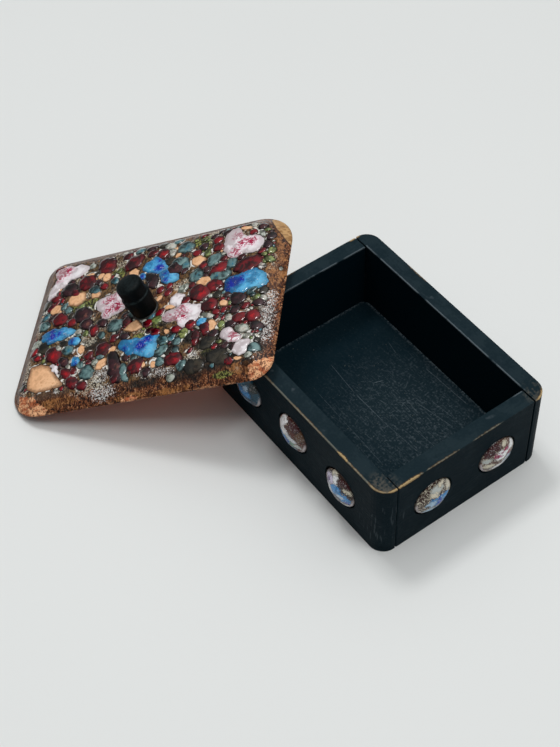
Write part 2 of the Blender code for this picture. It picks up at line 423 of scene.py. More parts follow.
@dataclass
class WoodBox:
    """The box of painted boards. Its nodes keep their shape and get their finish here."""
    length: float = 93.5
    width: float = 69.0
    height: float = 33.0
    wall: float = 6.0
    corner: float = 5.6
    finish: WornPaint = field(default_factory=WornPaint)
    # Where the rim's outer arris is worn through: place, how far it reaches along it, how strong
    worn_spots: Tuple[Tuple[Place, float, float], ...] = (
        ((46.7, -24.0, 33.0), 8.0, 0.78),
        ((46.7, -10.0, 33.0), 12.0, 0.36),
        ((46.7, 8.0, 33.0), 12.0, 0.30),
        ((46.0, -29.0, 33.0), 5.0, 0.72),
        ((43.0, -33.6, 33.0), 7.0, 0.52),
        ((32.0, -34.4, 33.0), 9.0, 0.46),
        ((26.5, -34.4, 33.0), 4.5, 0.80),
        ((8.0, -34.4, 33.0), 18.0, 0.42),
        ((-18.0, -34.4, 33.0), 16.0, 0.38),
        ((45.8, 31.5, 33.0), 5.0, 0.66),
        ((-46.0, 27.5, 33.0), 4.0, 0.70),
        ((-46.0, -33.5, 33.0), 6.0, 0.6),
        ((-20.0, 34.4, 33.0), 9.0, 0.4),
        ((-46.7, -4.0, 33.0), 10.0, 0.4),
    )
    # Scratches in the floor's paint: start, end, half the width, how light
    floor_scratches: Tuple[Tuple[Place, Place, float, float], ...] = (
        ((-24.0, -0.6, 6.0), (-8.0, -2.0, 6.0), 0.13, 0.50),
        ((-8.0, -2.0, 6.0), (8.0, -1.9, 6.0), 0.16, 0.62),
        ((8.0, -1.9, 6.0), (26.0, -0.7, 6.0), 0.12, 0.45),
        ((-8.0, 5.6, 6.0), (-6.4, 9.8, 6.0), 0.20, 0.95),
        ((-4.0, -1.0, 6.0), (-1.6, 2.6, 6.0), 0.14, 0.7),
        ((-1.6, 2.6, 6.0), (3.4, 4.0, 6.0), 0.14, 0.6),
        ((7.5, 12.2, 6.0), (24.0, 15.4, 6.0), 0.14, 0.55),
        ((10.0, 16.8, 6.0), (21.0, 18.0, 6.0), 0.13, 0.50),
        ((-2.0, 24.6, 6.0), (20.0, 25.6, 6.0), 0.15, 0.60),
        ((14.0, 4.2, 6.0), (30.0, 5.4, 6.0), 0.13, 0.5),
        ((-20.0, 22.0, 6.0), (-12.0, 20.5, 6.0), 0.12, 0.35),
        ((22.0, 7.5, 6.0), (27.5, 12.5, 6.0), 0.12, 0.45),
        ((-16.0, -12.0, 6.0), (22.0, -13.4, 6.0), 0.12, 0.35),
    )

    def outside_depth(self, bench: Bench, x: Signal, y: Signal) -> Signal:
        """How deep a point lies inside the box's rounded outline, seen in plan."""
        over_x = abs(x) - (self.length / 2 - self.corner)
        over_y = abs(y) - (self.width / 2 - self.corner)
        side_x, side_y = over_x.most(0.0), over_y.most(0.0)
        beyond = (side_x * side_x + side_y * side_y) ** 0.5
        return self.corner - (beyond + over_x.most(over_y).least(0.0))

    def painted(self, name: str, along: Place) -> bpy.types.Material:
        """Worn paint for a board.

        Args:
            name: The material's name.
            along: Stretch of the grain, long in the direction of the board's fibres.

        Returns:
            The material.
        """
        look = self.finish
        bench = Bench(name)
        where = bench.place()
        x, y, z = bench.split(where)
        fine = bench.noise(where, 0.9, 4.0)
        broad = bench.noise(where, 7.0, 3.0)
        fibres = bench.noise(bench.stretch(where, along), 0.55, 3.0)
        depth = self.outside_depth(bench, x, y)
        top = self.height - z
        # Arrises, where the paint is worn to wood, dusted or chalky
        inner = abs(depth - self.wall) + top
        outer = depth + top - 0.34
        spots = bench.nearness(where, self.worn_spots)
        ragged = (fine - 0.5) * 1.1 + (broad - 0.5) * 0.5
        reach = spots * 0.85 - 0.36
        brown_edge = (outer + ragged - reach).rise(0.30, -0.05) * spots.rise(0.2, 0.4)
        bare = (outer + ragged - reach).rise(0.05, -0.22) * spots.rise(0.15, 0.3)
        far_side = y.rise(20.0, 26.0).most(x.rise(-38.0, -42.0))
        inner_line = (inner + ragged * 0.5).rise(0.62, 0.30) * far_side * broad.rise(0.36, 0.5)
        foot_line = (depth + z + ragged * 0.5).rise(0.8, 0.4) * broad.rise(0.5, 0.62)
        near_line = (outer + ragged * 0.25).rise(0.26, -0.05) * y.rise(-26.0, -31.0)
        # Faces, rubbed to a lighter grey; the rim's top painted lighter still as painted sheen, mottled with
        # dust
        rubbed = (broad * 1.2 + fibres * 0.8 - 0.9).rise(0.08, 0.42)
        flat_top = top.rise(0.5, 0.1)
        outside = depth.rise(self.wall - 0.8, self.wall - 1.4)
        dust_and_sheen = (broad * 0.6 + fine * 0.5).rise(0.46, 0.72)
        colour = bench.mix(look.black, look.slate_and_sheen, rubbed * 0.42 * outside + flat_top * (dust_and_sheen * 0.5 + 0.54))
        # Scuffs along the outside, a painted reflection streak down the near corner and a rim worn by hands
        scuffs = bench.noise(bench.stretch(where, (0.30, 0.30, 2.0)), 1.2, 2.0, 3.0)
        # Light vertical streaks down the near corner: painted reflection
        corner_streaks = bench.noise(bench.stretch(where, (1.3, 1.3, 0.16)), 0.9, 2.0, 6.0)
        corner_reflection = corner_streaks.rise(0.58, 0.72) * bench.distance(where, (44.5, -33.0, 14.0)).rise(15.0, 6.0)
        scuffs_and_reflection = scuffs.rise(0.66, 0.78) * 0.30 + corner_reflection * 0.32
        colour = bench.mix(colour, look.dust_and_reflection, scuffs_and_reflection * outside)
        colour = bench.mix(colour, look.dust_and_reflection, (inner_line * 0.75).most(foot_line * 0.5))
        hand_worn = bench.distance(where, (43.0, -31.5, 33.0)).rise(7.0, 2.0)
        hand_worn = hand_worn.most(bench.distance(where, (44.0, 31.5, 33.0)).rise(6.5, 2.0))
        hand_worn = hand_worn * (fine * 0.6 + broad * 0.5).rise(0.48, 0.66)
        colour = bench.mix(colour, look.rubbed, hand_worn * flat_top * 0.7)
        colour = bench.mix(colour, look.chalk, near_line * 0.6)
        colour = bench.mix(colour, look.raw_wood, brown_edge * 0.75)
        colour = bench.mix(colour, bench.mix(look.chalk, look.cream, spots.rise(0.4, 0.6)), bare * 0.92)
        specks = bench.noise(where, 0.5, 1.0, 9.0).rise(0.80, 0.84)
        colour = bench.mix(colour, look.dust_and_reflection, specks * 0.6)
        bench.finish(base_color=colour, roughness=look.roughness + fine * 0.16 + bare * 0.2,
                     specular_ior_level=look.shine, ior=1.5)
        relief = fibres * 0.35 + fine * 0.25 + broad * 0.8 - bare * 0.4
        bench.bump(relief, 0.30, 0.8)
        return bench.material

    def floor_paint(self) -> bpy.types.Material:
        """The floor's paint: dull, rubbed grey to one side of the middle, and scratched."""
        look = self.finish
        bench = Bench("floor_paint")
        where = bench.place()
        x, y, _ = bench.split(where)
        fine = bench.noise(where, 0.7, 4.0)
        broad = bench.noise(where, 9.0, 3.0)
        fibres = bench.noise(bench.stretch(where, (0.12, 1.0, 1.0)), 0.8, 3.0)
        # Brushed grey that is strongest about a spot beside the middle and thins out from it
        grey_spread = bench.distance(where, (12.0, 8.0, 6.0)).rise(40.0, 6.0)
        hairs = bench.noise(bench.stretch(where, (0.16, 1.9, 1.0)), 0.62, 2.0, 5.0, 0.6)
        cross_hairs = bench.noise(bench.stretch(where, (1.8, 0.35, 1.0)), 0.7, 2.0, 7.0, 1.4)
        mottle = bench.noise(where, 0.75, 4.0, 8.0)
        worn = hairs.rise(0.55, 0.72) * 0.5 + cross_hairs.rise(0.62, 0.78) * 0.35
        worn = worn + mottle.rise(0.50, 0.70) * 0.6
        colour = bench.mix(look.black, look.slate_and_sheen, (broad - 0.30) * 0.5 + grey_spread * 0.50 + mottle * 0.15 - 0.05)
        colour = bench.mix(colour, look.dust_and_reflection, (worn * (grey_spread * 0.56 + 0.05)).least(0.85))
        dark_pits = fine.rise(0.40, 0.32) * 0.55
        colour = bench.mix(colour, look.black, dark_pits)
        specks = bench.noise(where, 0.6, 0.0, 2.0).rise(0.80, 0.85)
        colour = bench.mix(colour, look.chalk, specks * 0.35)
        for start, end, width, light in self.floor_scratches:
            line = bench.scratch(where, start, end, width)
            colour = bench.mix(colour, look.dust_and_reflection, line * light * fine.rise(0.28, 0.55))
        # A lighter line along the foot of the far and left walls
        border = (self.width / 2 - self.wall - abs(y)).least(self.length / 2 - self.wall - abs(x))
        away_from_view = y.rise(-10.0, 10.0).most(x.rise(-20.0, -34.0))
        ridge = border.rise(1.7, 0.5) * mottle.rise(0.40, 0.60) * away_from_view
        colour = bench.mix(colour, look.dust_and_reflection, ridge * 0.45)
        bench.finish(base_color=colour, roughness=0.6 + fine * 0.15, specular_ior_level=look.shine, ior=1.5)
        bench.bump(fibres * 0.5 + fine * 0.4 + broad * 0.8, 0.25, 0.8)
        return bench.material

    def dress(self) -> None:
        """Gives every board of the box its paint."""
        long_paint = self.painted("long_side_paint", (0.06, 1.0, 1.0))
        end_paint = self.painted("end_paint", (1.0, 0.06, 1.0))
        floor_paint = self.floor_paint()
        paints = {"long_side_near": long_paint, "long_side_far": long_paint, "end_left": end_paint,
                  "end_right": end_paint, "floor_board": floor_paint}
        for node, finish in paints.items():
            for material_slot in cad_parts[node].material_slots:
                material_slot.material = finish
            log.info("%s: painted with %s", node, finish.name)


# Enamel glasses

class Glass(Enum):
    """The enamel glasses on the lid, named for what they look like."""
    ROSE = "rose"
    SKY = "sky"
    SEA = "sea"
    GARNET = "garnet"
    PLUM = "plum"
    TAN = "tan"
    MOSS = "moss"
    PEARL = "pearl"
    SMOKE = "smoke"


@dataclass(frozen=True)
class GlassFinish:
    """Finish of one glass: its colours and how it shines.

    Deep is the colour of its edges and of the painted shade in its hollows, heart that of the spots
    inside it and veil what lies about a heart. Light is its lighter tone, partly a painted glow on the
    lit side. Streaks draw the heart out into threads, snow adds white grains, bleed widens the heart and
    relief scales its bumps and the painted shade in its hollows.
    """
    deep_and_shade: Colour
    body: Colour
    light: Colour
    fleck: Colour
    heart: Colour
    veil: Colour
    fleck_size: float = 1.2
    fleck_share: float = 0.35
    streaks: float = 0.0
    snow: float = 0.0
    bleed: float = 0.0
    relief: float = 1.0
    edge: float = 0.5
    glow: float = 0.5
    roughness: float = 0.07
    coat: float = 1.0
    shine: float = 0.14

    def make(self, glass: Glass) -> bpy.types.Material:
        """Makes the glass's material.

        Args:
            glass: Which glass it is.

        Returns:
            The material. Its mesh carries the place, the lump's own number, the way from its middle
            to its edge, the side that light gathers in, and the depth inside its coloured heart.
        """
        bench = Bench(f"{glass.value}_enamel")
        where = bench.attribute("lid_place", "Vector")
        number = bench.attribute("lump_number")
        out = bench.attribute("edgeward")
        side = bench.attribute("lightward")
        inside = bench.attribute("heart_depth")
        cloud = bench.noise(where, self.fleck_size * 2.2, 3.0, number * 37.0, 0.8)
        fleck = bench.noise(where, self.fleck_size, 4.0, number * 11.0, 0.8)
        fine = bench.noise(where, 0.40, 2.0, number * 5.0)
        own = bench.noise(where, 400.0, 0.0, number * 91.0)
        # Lighter on the lump's lit side: painted glow, on top of the glass's own random tone
        tone_and_glow = side * 0.55 + (cloud - 0.5) * 2.2 + (own - 0.5) * 2.4 + 0.30
        colour = bench.mix(self.body, self.light, tone_and_glow * self.glow)
        start = 0.74 - self.fleck_share * 0.4
        colour = bench.mix(colour, self.fleck, fleck.rise(start, start + 0.07) * 0.85)
        ridge = (1.0 - abs(bench.noise(where, 3.6, 3.0, number * 7.0, 2.4) - 0.5) * 8.5).most(0.0)
        grains = (fleck - 0.5) * 5.0 + (fine - 0.5) * 2.0
        heart = inside + self.bleed + grains * (1 - self.streaks * 0.62) + (ridge * 3.2 - 1.0) * self.streaks
        colour = bench.mix(colour, self.veil, heart.rise(-1.6, 0.6) * 0.7)
        colour = bench.mix(colour, self.heart, heart.rise(0.0, 0.9))
        snowy = (fine * 0.5 + fleck * 0.5).rise(0.56, 0.64) * self.snow
        colour = bench.mix(colour, paint(236, 240, 244), snowy)
        dark_edge = (out + (cloud - 0.5) * 0.3 + (fleck - 0.5) * 0.25).rise(0.66, 0.98)
        colour = bench.mix(colour, self.deep_and_shade, dark_edge * self.edge)
        # Painted shade in the hollows of the bump, deeper on the side away from the light
        hollow_shade = (0.60 - cloud - side * 0.12).rise(0.02, 0.22)
        colour = bench.mix(colour, self.deep_and_shade, hollow_shade * (self.edge * self.relief))
        bench.finish(base_color=colour, roughness=self.roughness + fine * 0.06,
                     coat_weight=out.rise(0.98, 0.80) * self.coat, coat_roughness=0.03,
                     specular_ior_level=self.shine, ior=1.52)
        bench.bump(cloud * 0.9 + fleck * 0.14, 0.55 * self.relief, 0.8)
        return bench.material


FINISHES: Dict[Glass, GlassFinish] = {
    Glass.ROSE: GlassFinish(
        deep_and_shade=paint(168, 152, 154), body=paint(242, 234, 238), light=paint(250, 248, 250),
        fleck=paint(238, 212, 224), heart=paint(168, 14, 66), veil=paint(236, 160, 188),
        fleck_size=1.3, fleck_share=0.25, streaks=1.0, edge=0.6, glow=0.6),
    Glass.SKY: GlassFinish(
        deep_and_shade=paint(10, 50, 84), body=paint(54, 156, 214), light=paint(120, 204, 238),
        fleck=paint(24, 112, 184), heart=paint(8, 34, 160), veil=paint(20, 92, 190),
        fleck_size=1.3, fleck_share=0.34, snow=0.6, bleed=0.45, edge=0.5, glow=0.75),
    Glass.SEA: GlassFinish(
        deep_and_shade=paint(10, 22, 24), body=paint(74, 106, 108), light=paint(136, 168, 166),
        fleck=paint(42, 74, 80), heart=paint(32, 110, 138), veil=paint(52, 110, 124),
        fleck_size=1.3, fleck_share=0.40, snow=0.2, edge=0.85, glow=0.75),
    Glass.GARNET: GlassFinish(
        deep_and_shade=paint(20, 2, 6), body=paint(88, 6, 18), light=paint(140, 12, 26),
        fleck=paint(54, 4, 14), heart=paint(176, 14, 26), veil=paint(136, 8, 24),
        fleck_size=1.5, fleck_share=0.40, edge=0.80, glow=0.8),
    Glass.PLUM: GlassFinish(
        deep_and_shade=paint(10, 4, 6), body=paint(40, 12, 22), light=paint(84, 44, 48),
        fleck=paint(26, 8, 16), heart=paint(110, 66, 58), veil=paint(70, 30, 36),
        fleck_size=1.4, fleck_share=0.45, edge=0.88, glow=0.6),
    Glass.TAN: GlassFinish(
        deep_and_shade=paint(96, 58, 34), body=paint(238, 184, 138), light=paint(250, 208, 168),
        fleck=paint(216, 158, 112), heart=paint(204, 142, 96), veil=paint(224, 170, 124),
        fleck_size=0.8, fleck_share=0.40, relief=0.2, edge=0.78, glow=0.6, roughness=0.5,
        coat=0.25, shine=0.2),
    Glass.MOSS: GlassFinish(
        deep_and_shade=paint(26, 28, 12), body=paint(112, 120, 60), light=paint(178, 188, 116),
        fleck=paint(66, 74, 34), heart=paint(96, 124, 72), veil=paint(120, 140, 86),
        fleck_size=0.8, fleck_share=0.45, edge=0.8, glow=0.8),
    Glass.PEARL: GlassFinish(
        deep_and_shade=paint(60, 62, 52), body=paint(150, 158, 146), light=paint(222, 224, 216),
        fleck=paint(108, 116, 100), heart=paint(206, 190, 176), veil=paint(214, 206, 196),
        fleck_size=0.7, fleck_share=0.35, edge=0.7, glow=0.7),
    Glass.SMOKE: GlassFinish(
        deep_and_shade=paint(6, 7, 6), body=paint(34, 32, 26), light=paint(84, 74, 56),
        fleck=paint(22, 22, 18), heart=paint(70, 54, 40), veil=paint(50, 42, 34),
        fleck_size=1.2, fleck_share=0.35, edge=0.7, glow=0.6),
}


@dataclass(frozen=True)
class Lump:
    """One lump of glass: its place on the lid, its half length and half width, and its turn."""
    glass: Glass
    x: float
    y: float
    long: float
    wide: float
    turn: float = 0.0
    height: float = 0.0


@dataclass(frozen=True)
class Flake:
    """A broad flow of glass: round lobes that run together, and the hearts of deeper colour in it."""
    glass: Glass
    lobes: Tuple[Circle, ...]
    hearts: Tuple[Circle, ...] = ()
    height: float = 0.62
    blend: float = 1.6


@dataclass(frozen=True)
class Shard:
    """A flat piece with straight sides: its corners, anticlockwise and bulging outward only."""
    glass: Glass
    corners: Tuple[Point, ...]
    height: float = 0.36

    def sides(self) -> List[Patch]:
        """Each side's start, then how far it runs along X and along Y."""
        ends = self.corners[1:] + self.corners[:1]
        return [(ax, ay, bx - ax, by - ay) for (ax, ay), (bx, by) in zip(self.corners, ends)]

    def depth(self, x: Array, y: Array) -> Array:
        """How deep places lie inside its sides."""
        depth = np.full(np.shape(x), FAR)
        for start_x, start_y, run, rise in self.sides():
            away = (run * (y - start_y) - rise * (x - start_x)) / math.hypot(run, rise)
            depth = np.minimum(depth, away)
        return depth

    def middle(self) -> Point:
        """The mean of its corners."""
        corners = np.array(self.corners)
        return float(corners[:, 0].mean()), float(corners[:, 1].mean())

    def outline(self, angle: Array) -> Array:
        """How far its sides lie from its middle in each direction, a little ragged."""
        middle_x, middle_y = self.middle()
        reach = np.full(len(angle), FAR)
        for start_x, start_y, run, rise in self.sides():
            away = (run * (middle_y - start_y) - rise * (middle_x - start_x)) / math.hypot(run, rise)
            facing = (rise * np.cos(angle) - run * np.sin(angle)) / math.hypot(run, rise)
            reach = np.minimum(reach, np.where(facing > 0.01, away / np.maximum(facing, 0.01), FAR))
        x, y = reach * np.cos(angle), reach * np.sin(angle)
        return reach + layered(x, y, 1.5, 77, 2) * 0.22


# The lid

# Patches of the lid's ground by kind: the seed of their ragged edge, then each one's middle, half length
# and half width
GROUND_PATCHES: Dict[str, Tuple[int, Tuple[Patch, ...]]] = {
    "frost": (11, (
        (47.0, -5.0, 3.0, 6.0), (47.0, -12.0, 3.4, 6.0), (46.8, -20.0, 3.4, 6.5), (43.0, -21.5, 4.0, 1.6),
        (-13.0, -27.5, 4.4, 4.8), (-12.0, -33.5, 6.5, 3.4), (6.0, -30.0, 6.5, 2.8), (12.0, -31.0, 5.5, 2.2),
        (22.0, -26.0, 2.6, 2.2), (24.0, -9.5, 3.6, 2.4), (31.0, -11.0, 2.2, 2.4), (5.0, 27.0, 3.4, 2.6),
        (-30.0, -30.5, 1.8, 1.2), (42.0, 9.5, 4.0, 1.6), (-23.0, 22.0, 3.0, 2.8), (41.0, 25.0, 2.0, 3.4),
        (-1.0, 17.6, 3.2, 1.6), (31.5, -3.4, 2.4, 1.8), (-28.0, -10.5, 3.0, 1.8), (44.0, 3.0, 1.6, 4.0),
    )),
    "burnt": (21, (
        (27.0, -21.5, 5.5, 4.5), (31.0, -29.0, 9.0, 5.5), (22.5, -31.0, 5.5, 4.6), (11.0, -21.0, 4.2, 3.2),
        (20.0, -18.0, 4.0, 3.0), (-41.0, -8.5, 3.6, 3.6), (-44.0, 17.0, 2.0, 4.0), (45.0, -27.0, 3.4, 3.0),
        (-33.0, 18.0, 3.0, 2.2), (17.0, -33.0, 4.0, 2.2), (-20.0, -12.0, 6.0, 3.0), (4.0, -33.2, 6.0, 1.4),
        (-26.0, 24.0, 4.0, 2.0), (-38.0, 6.0, 3.0, 2.4), (8.0, -8.0, 3.0, 2.4),
    )),
    # Grey painted reflection, mostly on the left and upper margins
    "margin_reflection": (41, (
        (-49.5, 12.0, 4.0, 26.0), (-20.0, 36.8, 34.0, 4.2), (22.0, 36.8, 14.0, 3.6),
        (-48.2, -16.0, 3.4, 12.0), (-44.0, 33.0, 6.0, 5.0), (-34.0, -31.0, 8.0, 1.6),
    )),
    "moss": (51, (
        (17.5, 28.5, 4.5, 2.6), (19.0, 22.5, 2.4, 3.2), (-28.0, 7.5, 5.0, 3.0), (-16.0, 21.0, 2.6, 3.4),
        (42.5, -5.0, 2.4, 2.0), (44.0, 14.0, 2.4, 4.0), (5.0, -7.0, 3.0, 4.0), (31.0, -16.5, 2.4, 2.0),
        (28.5, -26.0, 3.5, 1.8), (34.0, -35.5, 4.0, 1.0), (13.0, -18.0, 4.0, 2.6), (-31.0, 12.0, 4.0, 3.0),
        (-24.0, 8.0, 3.0, 3.0), (-10.0, 12.0, 3.0, 3.0), (1.0, -13.0, 4.0, 1.6),
    )),
    "ochre": (61, (
        (7.0, 5.0, 6.0, 7.0), (34.0, -8.0, 5.5, 3.4), (-30.0, -34.0, 8.0, 1.4), (47.5, 8.0, 3.4, 14.0),
        (-2.0, -36.5, 6.0, 1.2), (42.0, -34.5, 7.0, 2.2), (46.0, 22.0, 2.2, 6.0), (14.0, -37.0, 8.0, 1.0),
    )),
}


@dataclass(frozen=True)
class Grains:
    """The patterns that the ground's colours share, from broad clouds to fine grain and long smears."""
    broad: Signal
    speck: Signal
    fine: Signal
    smear: Signal


@dataclass
class LeaningLid:
    """The pressed copper lid with its enamel, leaning on the box's corner."""
    length: float = 101.6
    width: float = 75.4
    # Corner radii: lower right, upper right, upper left, lower left, where X points right and Y up
    corners: Tuple[float, float, float, float] = (7.5, 15.5, 6.8, 13.0)
    # How far out of square the lower side is, per millimetre along the lid
    skew: float = -0.024
    sheet: float = 1.0
    margin: float = 5.6
    lift: float = 3.8
    crown: float = 1.0
    ridge: float = 1.3
    # How it leans: gap at the box's corner, direction of its length, and where on it the corner touches
    box: WoodBox = field(default_factory=WoodBox)
    gap: float = 0.3
    heading: float = 47.0
    rest_from_end: float = 22.7
    rest_off_centre: float = -11.0
    grid: float = 0.40
    # Where the underside's mesh ends, inside the outline, and the pitch of its points
    back_inset: float = 1.3
    back_grid: float = 1.1
    # The scattered drops: where they may lie, their sizes, and the room that one needs for its size
    scatter_half: Point = (46.5, 33.5)
    scatter_pitch: float = 0.25
    rim_clearance: float = 4.4
    drop_sizes: Tuple[float, ...] = (1.8, 1.35, 1.0, 0.72, 0.5)
    drop_room: float = 0.92
    # Corners and edges where the sheet's copper lies bare, and the smooth tawny crescent of one corner
    bared: Tuple[Shard, ...] = (
        Shard(Glass.TAN, ((-46.5, -28.0), (-48.0, -36.0), (-36.0, -39.0), (-34.0, -35.4), (-39.5, -30.5))),
        Shard(Glass.TAN, ((-5.6, -36.4), (-5.0, -39.5), (2.6, -39.5), (1.4, -36.4), (-1.6, -35.6))),
        Shard(Glass.TAN, ((43.0, -34.4), (42.0, -40.0), (52.0, -39.0), (52.0, -29.6), (48.6, -30.4))),
    )
    crescent: Shard = Shard(Glass.TAN, ((40.6, 34.2), (44.8, 28.4), (47.6, 22.8), (51.4, 15.6), (60.0, 30.0),
                                        (52.0, 44.0)))
    lumps: List[Lump] = field(default_factory=list)
    flakes: List[Flake] = field(default_factory=list)
    shards: List[Shard] = field(default_factory=list)
    crumbs: List[Lump] = field(default_factory=list)

    def slope(self) -> float:
        """Angle of the sloping margin."""
        return math.atan2(self.lift, self.margin)

    def rim_inset(self) -> float:
        """How far the rim's lower edge lies inside its upper edge."""
        return self.sheet * math.sin(self.slope())

    def rim_height(self) -> float:
        """Height of the rim's upper edge over its lower edge."""
        return self.sheet * math.cos(self.slope())

    def frame(self) -> Matrix:
        """Where the lid's own frame stands, in metres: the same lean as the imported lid's."""
        field_height = self.rim_height() + self.lift
        along = self.length - self.rest_from_end - self.rim_inset()
        share = max((self.length / 2 - self.rest_from_end) / (self.length / 2 - self.margin),
                    abs(self.rest_off_centre) / (self.width / 2 - self.margin))
        hollow = field_height + self.crown * (1 - share ** 2) - self.sheet - self.gap
        box = self.box
        reach = math.sqrt(along ** 2 + hollow ** 2 - box.height ** 2)
        lean = math.atan2(box.height, reach) - math.atan2(hollow, along)
        heading = math.radians(self.heading)
        uphill = Vector((math.cos(heading), math.sin(heading), 0))
        across = Vector((-uphill.y, uphill.x, 0))
        middle = Vector((box.corner - box.length / 2, box.corner - box.width / 2, 0))
        corner = middle - uphill * box.corner
        foot = corner - uphill * reach - across * self.rest_off_centre
        turn = Matrix.Rotation(heading, 4, "Z") @ Matrix.Rotation(-lean, 4, "Y")
        shift = Matrix.Translation(Vector((self.length / 2 - self.rim_inset(), 0, self.rim_height())) * MM)
        return Matrix.Translation(foot * MM) @ turn @ shift

    def corner_radius(self, x: Array, y: Array) -> Array:
        """Radius of the corner that a place is nearest to."""
        lower_right, upper_right, upper_left, lower_left = self.corners
        right = np.where(y > 0, upper_right, lower_right)
        return np.where(x > 0, right, np.where(y > 0, upper_left, lower_left))

    def inset(self, x: Array, y: Array) -> Array:
        """How far inside the lid's rounded outline a place lies."""
        corner = self.corner_radius(x, y)
        over_x = np.abs(x) - (self.length / 2 - corner)
        over_y = np.abs(y) - (self.width / 2 - corner)
        beyond = np.hypot(np.maximum(over_x, 0), np.maximum(over_y, 0))
        return corner - beyond - np.minimum(np.maximum(over_x, over_y), 0)

    def squared(self, x: Array, y: Array) -> Array:
        """Y of a place once the sheet's lower side is as far out of square as the real one."""
        return y + self.skew * x * np.clip(-y / (self.width / 2), 0, 1)

    def swell(self, x: Array, y: Array) -> Array:
        """How high the crowned field stands over its own edge."""
        share_x, share_y = x / (self.length / 2 - self.margin), y / (self.width / 2 - self.margin)
        share = (share_x ** 4 + share_y ** 4) ** 0.25
        return self.crown * np.clip(1 - share ** 2, 0, 1)

    def soft_ridge(self, top: Array, slope: Array) -> Array:
        """The lower of the field and the margin, rounded where they meet."""
        blend = np.clip(0.5 + 0.5 * (top - slope) / self.ridge, 0, 1)
        return top * (1 - blend) + slope * blend - self.ridge * blend * (1 - blend)

    def pressed(self, inset: Array, x: Array, y: Array) -> Array:
        """Height of the pressed sheet: the sloping margin run softly into the crowned field."""
        return self.soft_ridge(self.lift + self.swell(x, y), inset * self.lift / self.margin)

    def surface(self, x: Array, y: Array) -> Array:
        """Height of the lid's outer surface at a place."""
        return self.pressed(self.inset(x, y), x, y)

    def rounded_grid(self, inset: float, pitch: float) -> Tuple[Array, Array, Array, Tuple[int, int]]:
        """A grid of points fitted into the lid's outline with its round corners.

        Args:
            inset: How far inside the lid's outline the grid ends.
            pitch: Distance between points.

        Returns:
            The points' two coordinates, how far inside the grid's edge each lies, and its shape.
        """
        half_x, half_y = self.length / 2 - inset, self.width / 2 - inset
        columns, rows = round(2 * half_x / pitch) + 1, round(2 * half_y / pitch) + 1
        x, y = np.meshgrid(np.linspace(-half_x, half_x, columns), np.linspace(-half_y, half_y, rows))
        corner = self.corner_radius(x, y) - inset
        depth_x, depth_y = half_x - np.abs(x), half_y - np.abs(y)
        depth = np.minimum(depth_x, depth_y)
        curl = (depth_x < corner) & (depth_y < corner)
        radius = np.maximum(corner - depth, 1e-6)
        eighth = math.pi / 4
        rising = (np.abs(y) - (half_y - corner)) / radius * eighth
        falling = 2 * eighth - (np.abs(x) - (half_x - corner)) / radius * eighth
        angle = np.where(depth_x <= depth_y, rising, falling)
        round_x = np.sign(x) * (half_x - corner + radius * np.cos(angle))
        round_y = np.sign(y) * (half_y - corner + radius * np.sin(angle))
        x, y = np.where(curl, round_x, x), np.where(curl, round_y, y)
        return x.ravel(), y.ravel(), depth.ravel(), (rows, columns)

    @staticmethod
    def grid_faces(shape: Tuple[int, int], upward: bool = True) -> List[List[int]]:
        """Quads of a grid of points, facing up or down."""
        rows, columns = shape
        faces = []
        for row in range(rows - 1):
            for column in range(columns - 1):
                first = row * columns + column
                quad = [first, first + 1, first + columns + 1, first + columns]
                faces.append(quad if upward else quad[::-1])
        return faces

    @staticmethod
    def border(shape: Tuple[int, int]) -> List[int]:
        """Numbers of a grid's outermost points, anticlockwise."""
        rows, columns = shape
        loop = list(range(columns))
        loop += [row * columns + columns - 1 for row in range(1, rows)]
        loop += [(rows - 1) * columns + column for column in range(columns - 2, -1, -1)]
        return loop + [row * columns for row in range(rows - 2, 0, -1)]

    @staticmethod
    def lump_gap(lump: Lump, x: Array, y: Array) -> Array:
        """Distance from places to the edge of an oval lump, negative inside it."""
        turn = math.radians(lump.turn)
        dx, dy = x - lump.x, y - lump.y
        along = (dx * math.cos(turn) + dy * math.sin(turn)) / lump.long
        aside = (dy * math.cos(turn) - dx * math.sin(turn)) / lump.wide
        return (np.hypot(along, aside) - 1) * min(lump.long, lump.wide)

    def nearest_glass(self, x: Array, y: Array) -> Array:
        """Distance from each place to the nearest edge of a lump, flake or shard, negative under it."""
        nearest = np.full(x.shape, CLEAR)
        for lump in self.lumps + self.crumbs:
            near = (np.abs(x - lump.x) < lump.long + 3) & (np.abs(y - lump.y) < lump.long + 3)
            nearest[near] = np.minimum(nearest[near], self.lump_gap(lump, x[near], y[near]))
        for flake in self.flakes:
            for lobe_x, lobe_y, radius in flake.lobes:
                nearest = np.minimum(nearest, np.hypot(x - lobe_x, y - lobe_y) - radius)
        for shard in self.shards:
            nearest = np.minimum(nearest, -shard.depth(x, y))
        return nearest

    @staticmethod
    def blots(kind: str, x: Array, y: Array) -> Array:
        """Soft ragged patches of the ground.

        Args:
            kind: Which of the ground's patches.
            x: First coordinates.
            y: Second coordinates.

        Returns:
            A value over 0.5 inside the patches.
        """
        seed, spots = GROUND_PATCHES[kind]
        total = np.zeros_like(x)
        for spot_x, spot_y, long, wide in spots:
            reach = np.hypot((x - spot_x) / long, (y - spot_y) / wide)
            total = np.maximum(total, np.clip(1.5 - reach, 0, 1))
        return np.clip(total + layered(x, y, 4.0, seed) * 0.16, 0, 1)

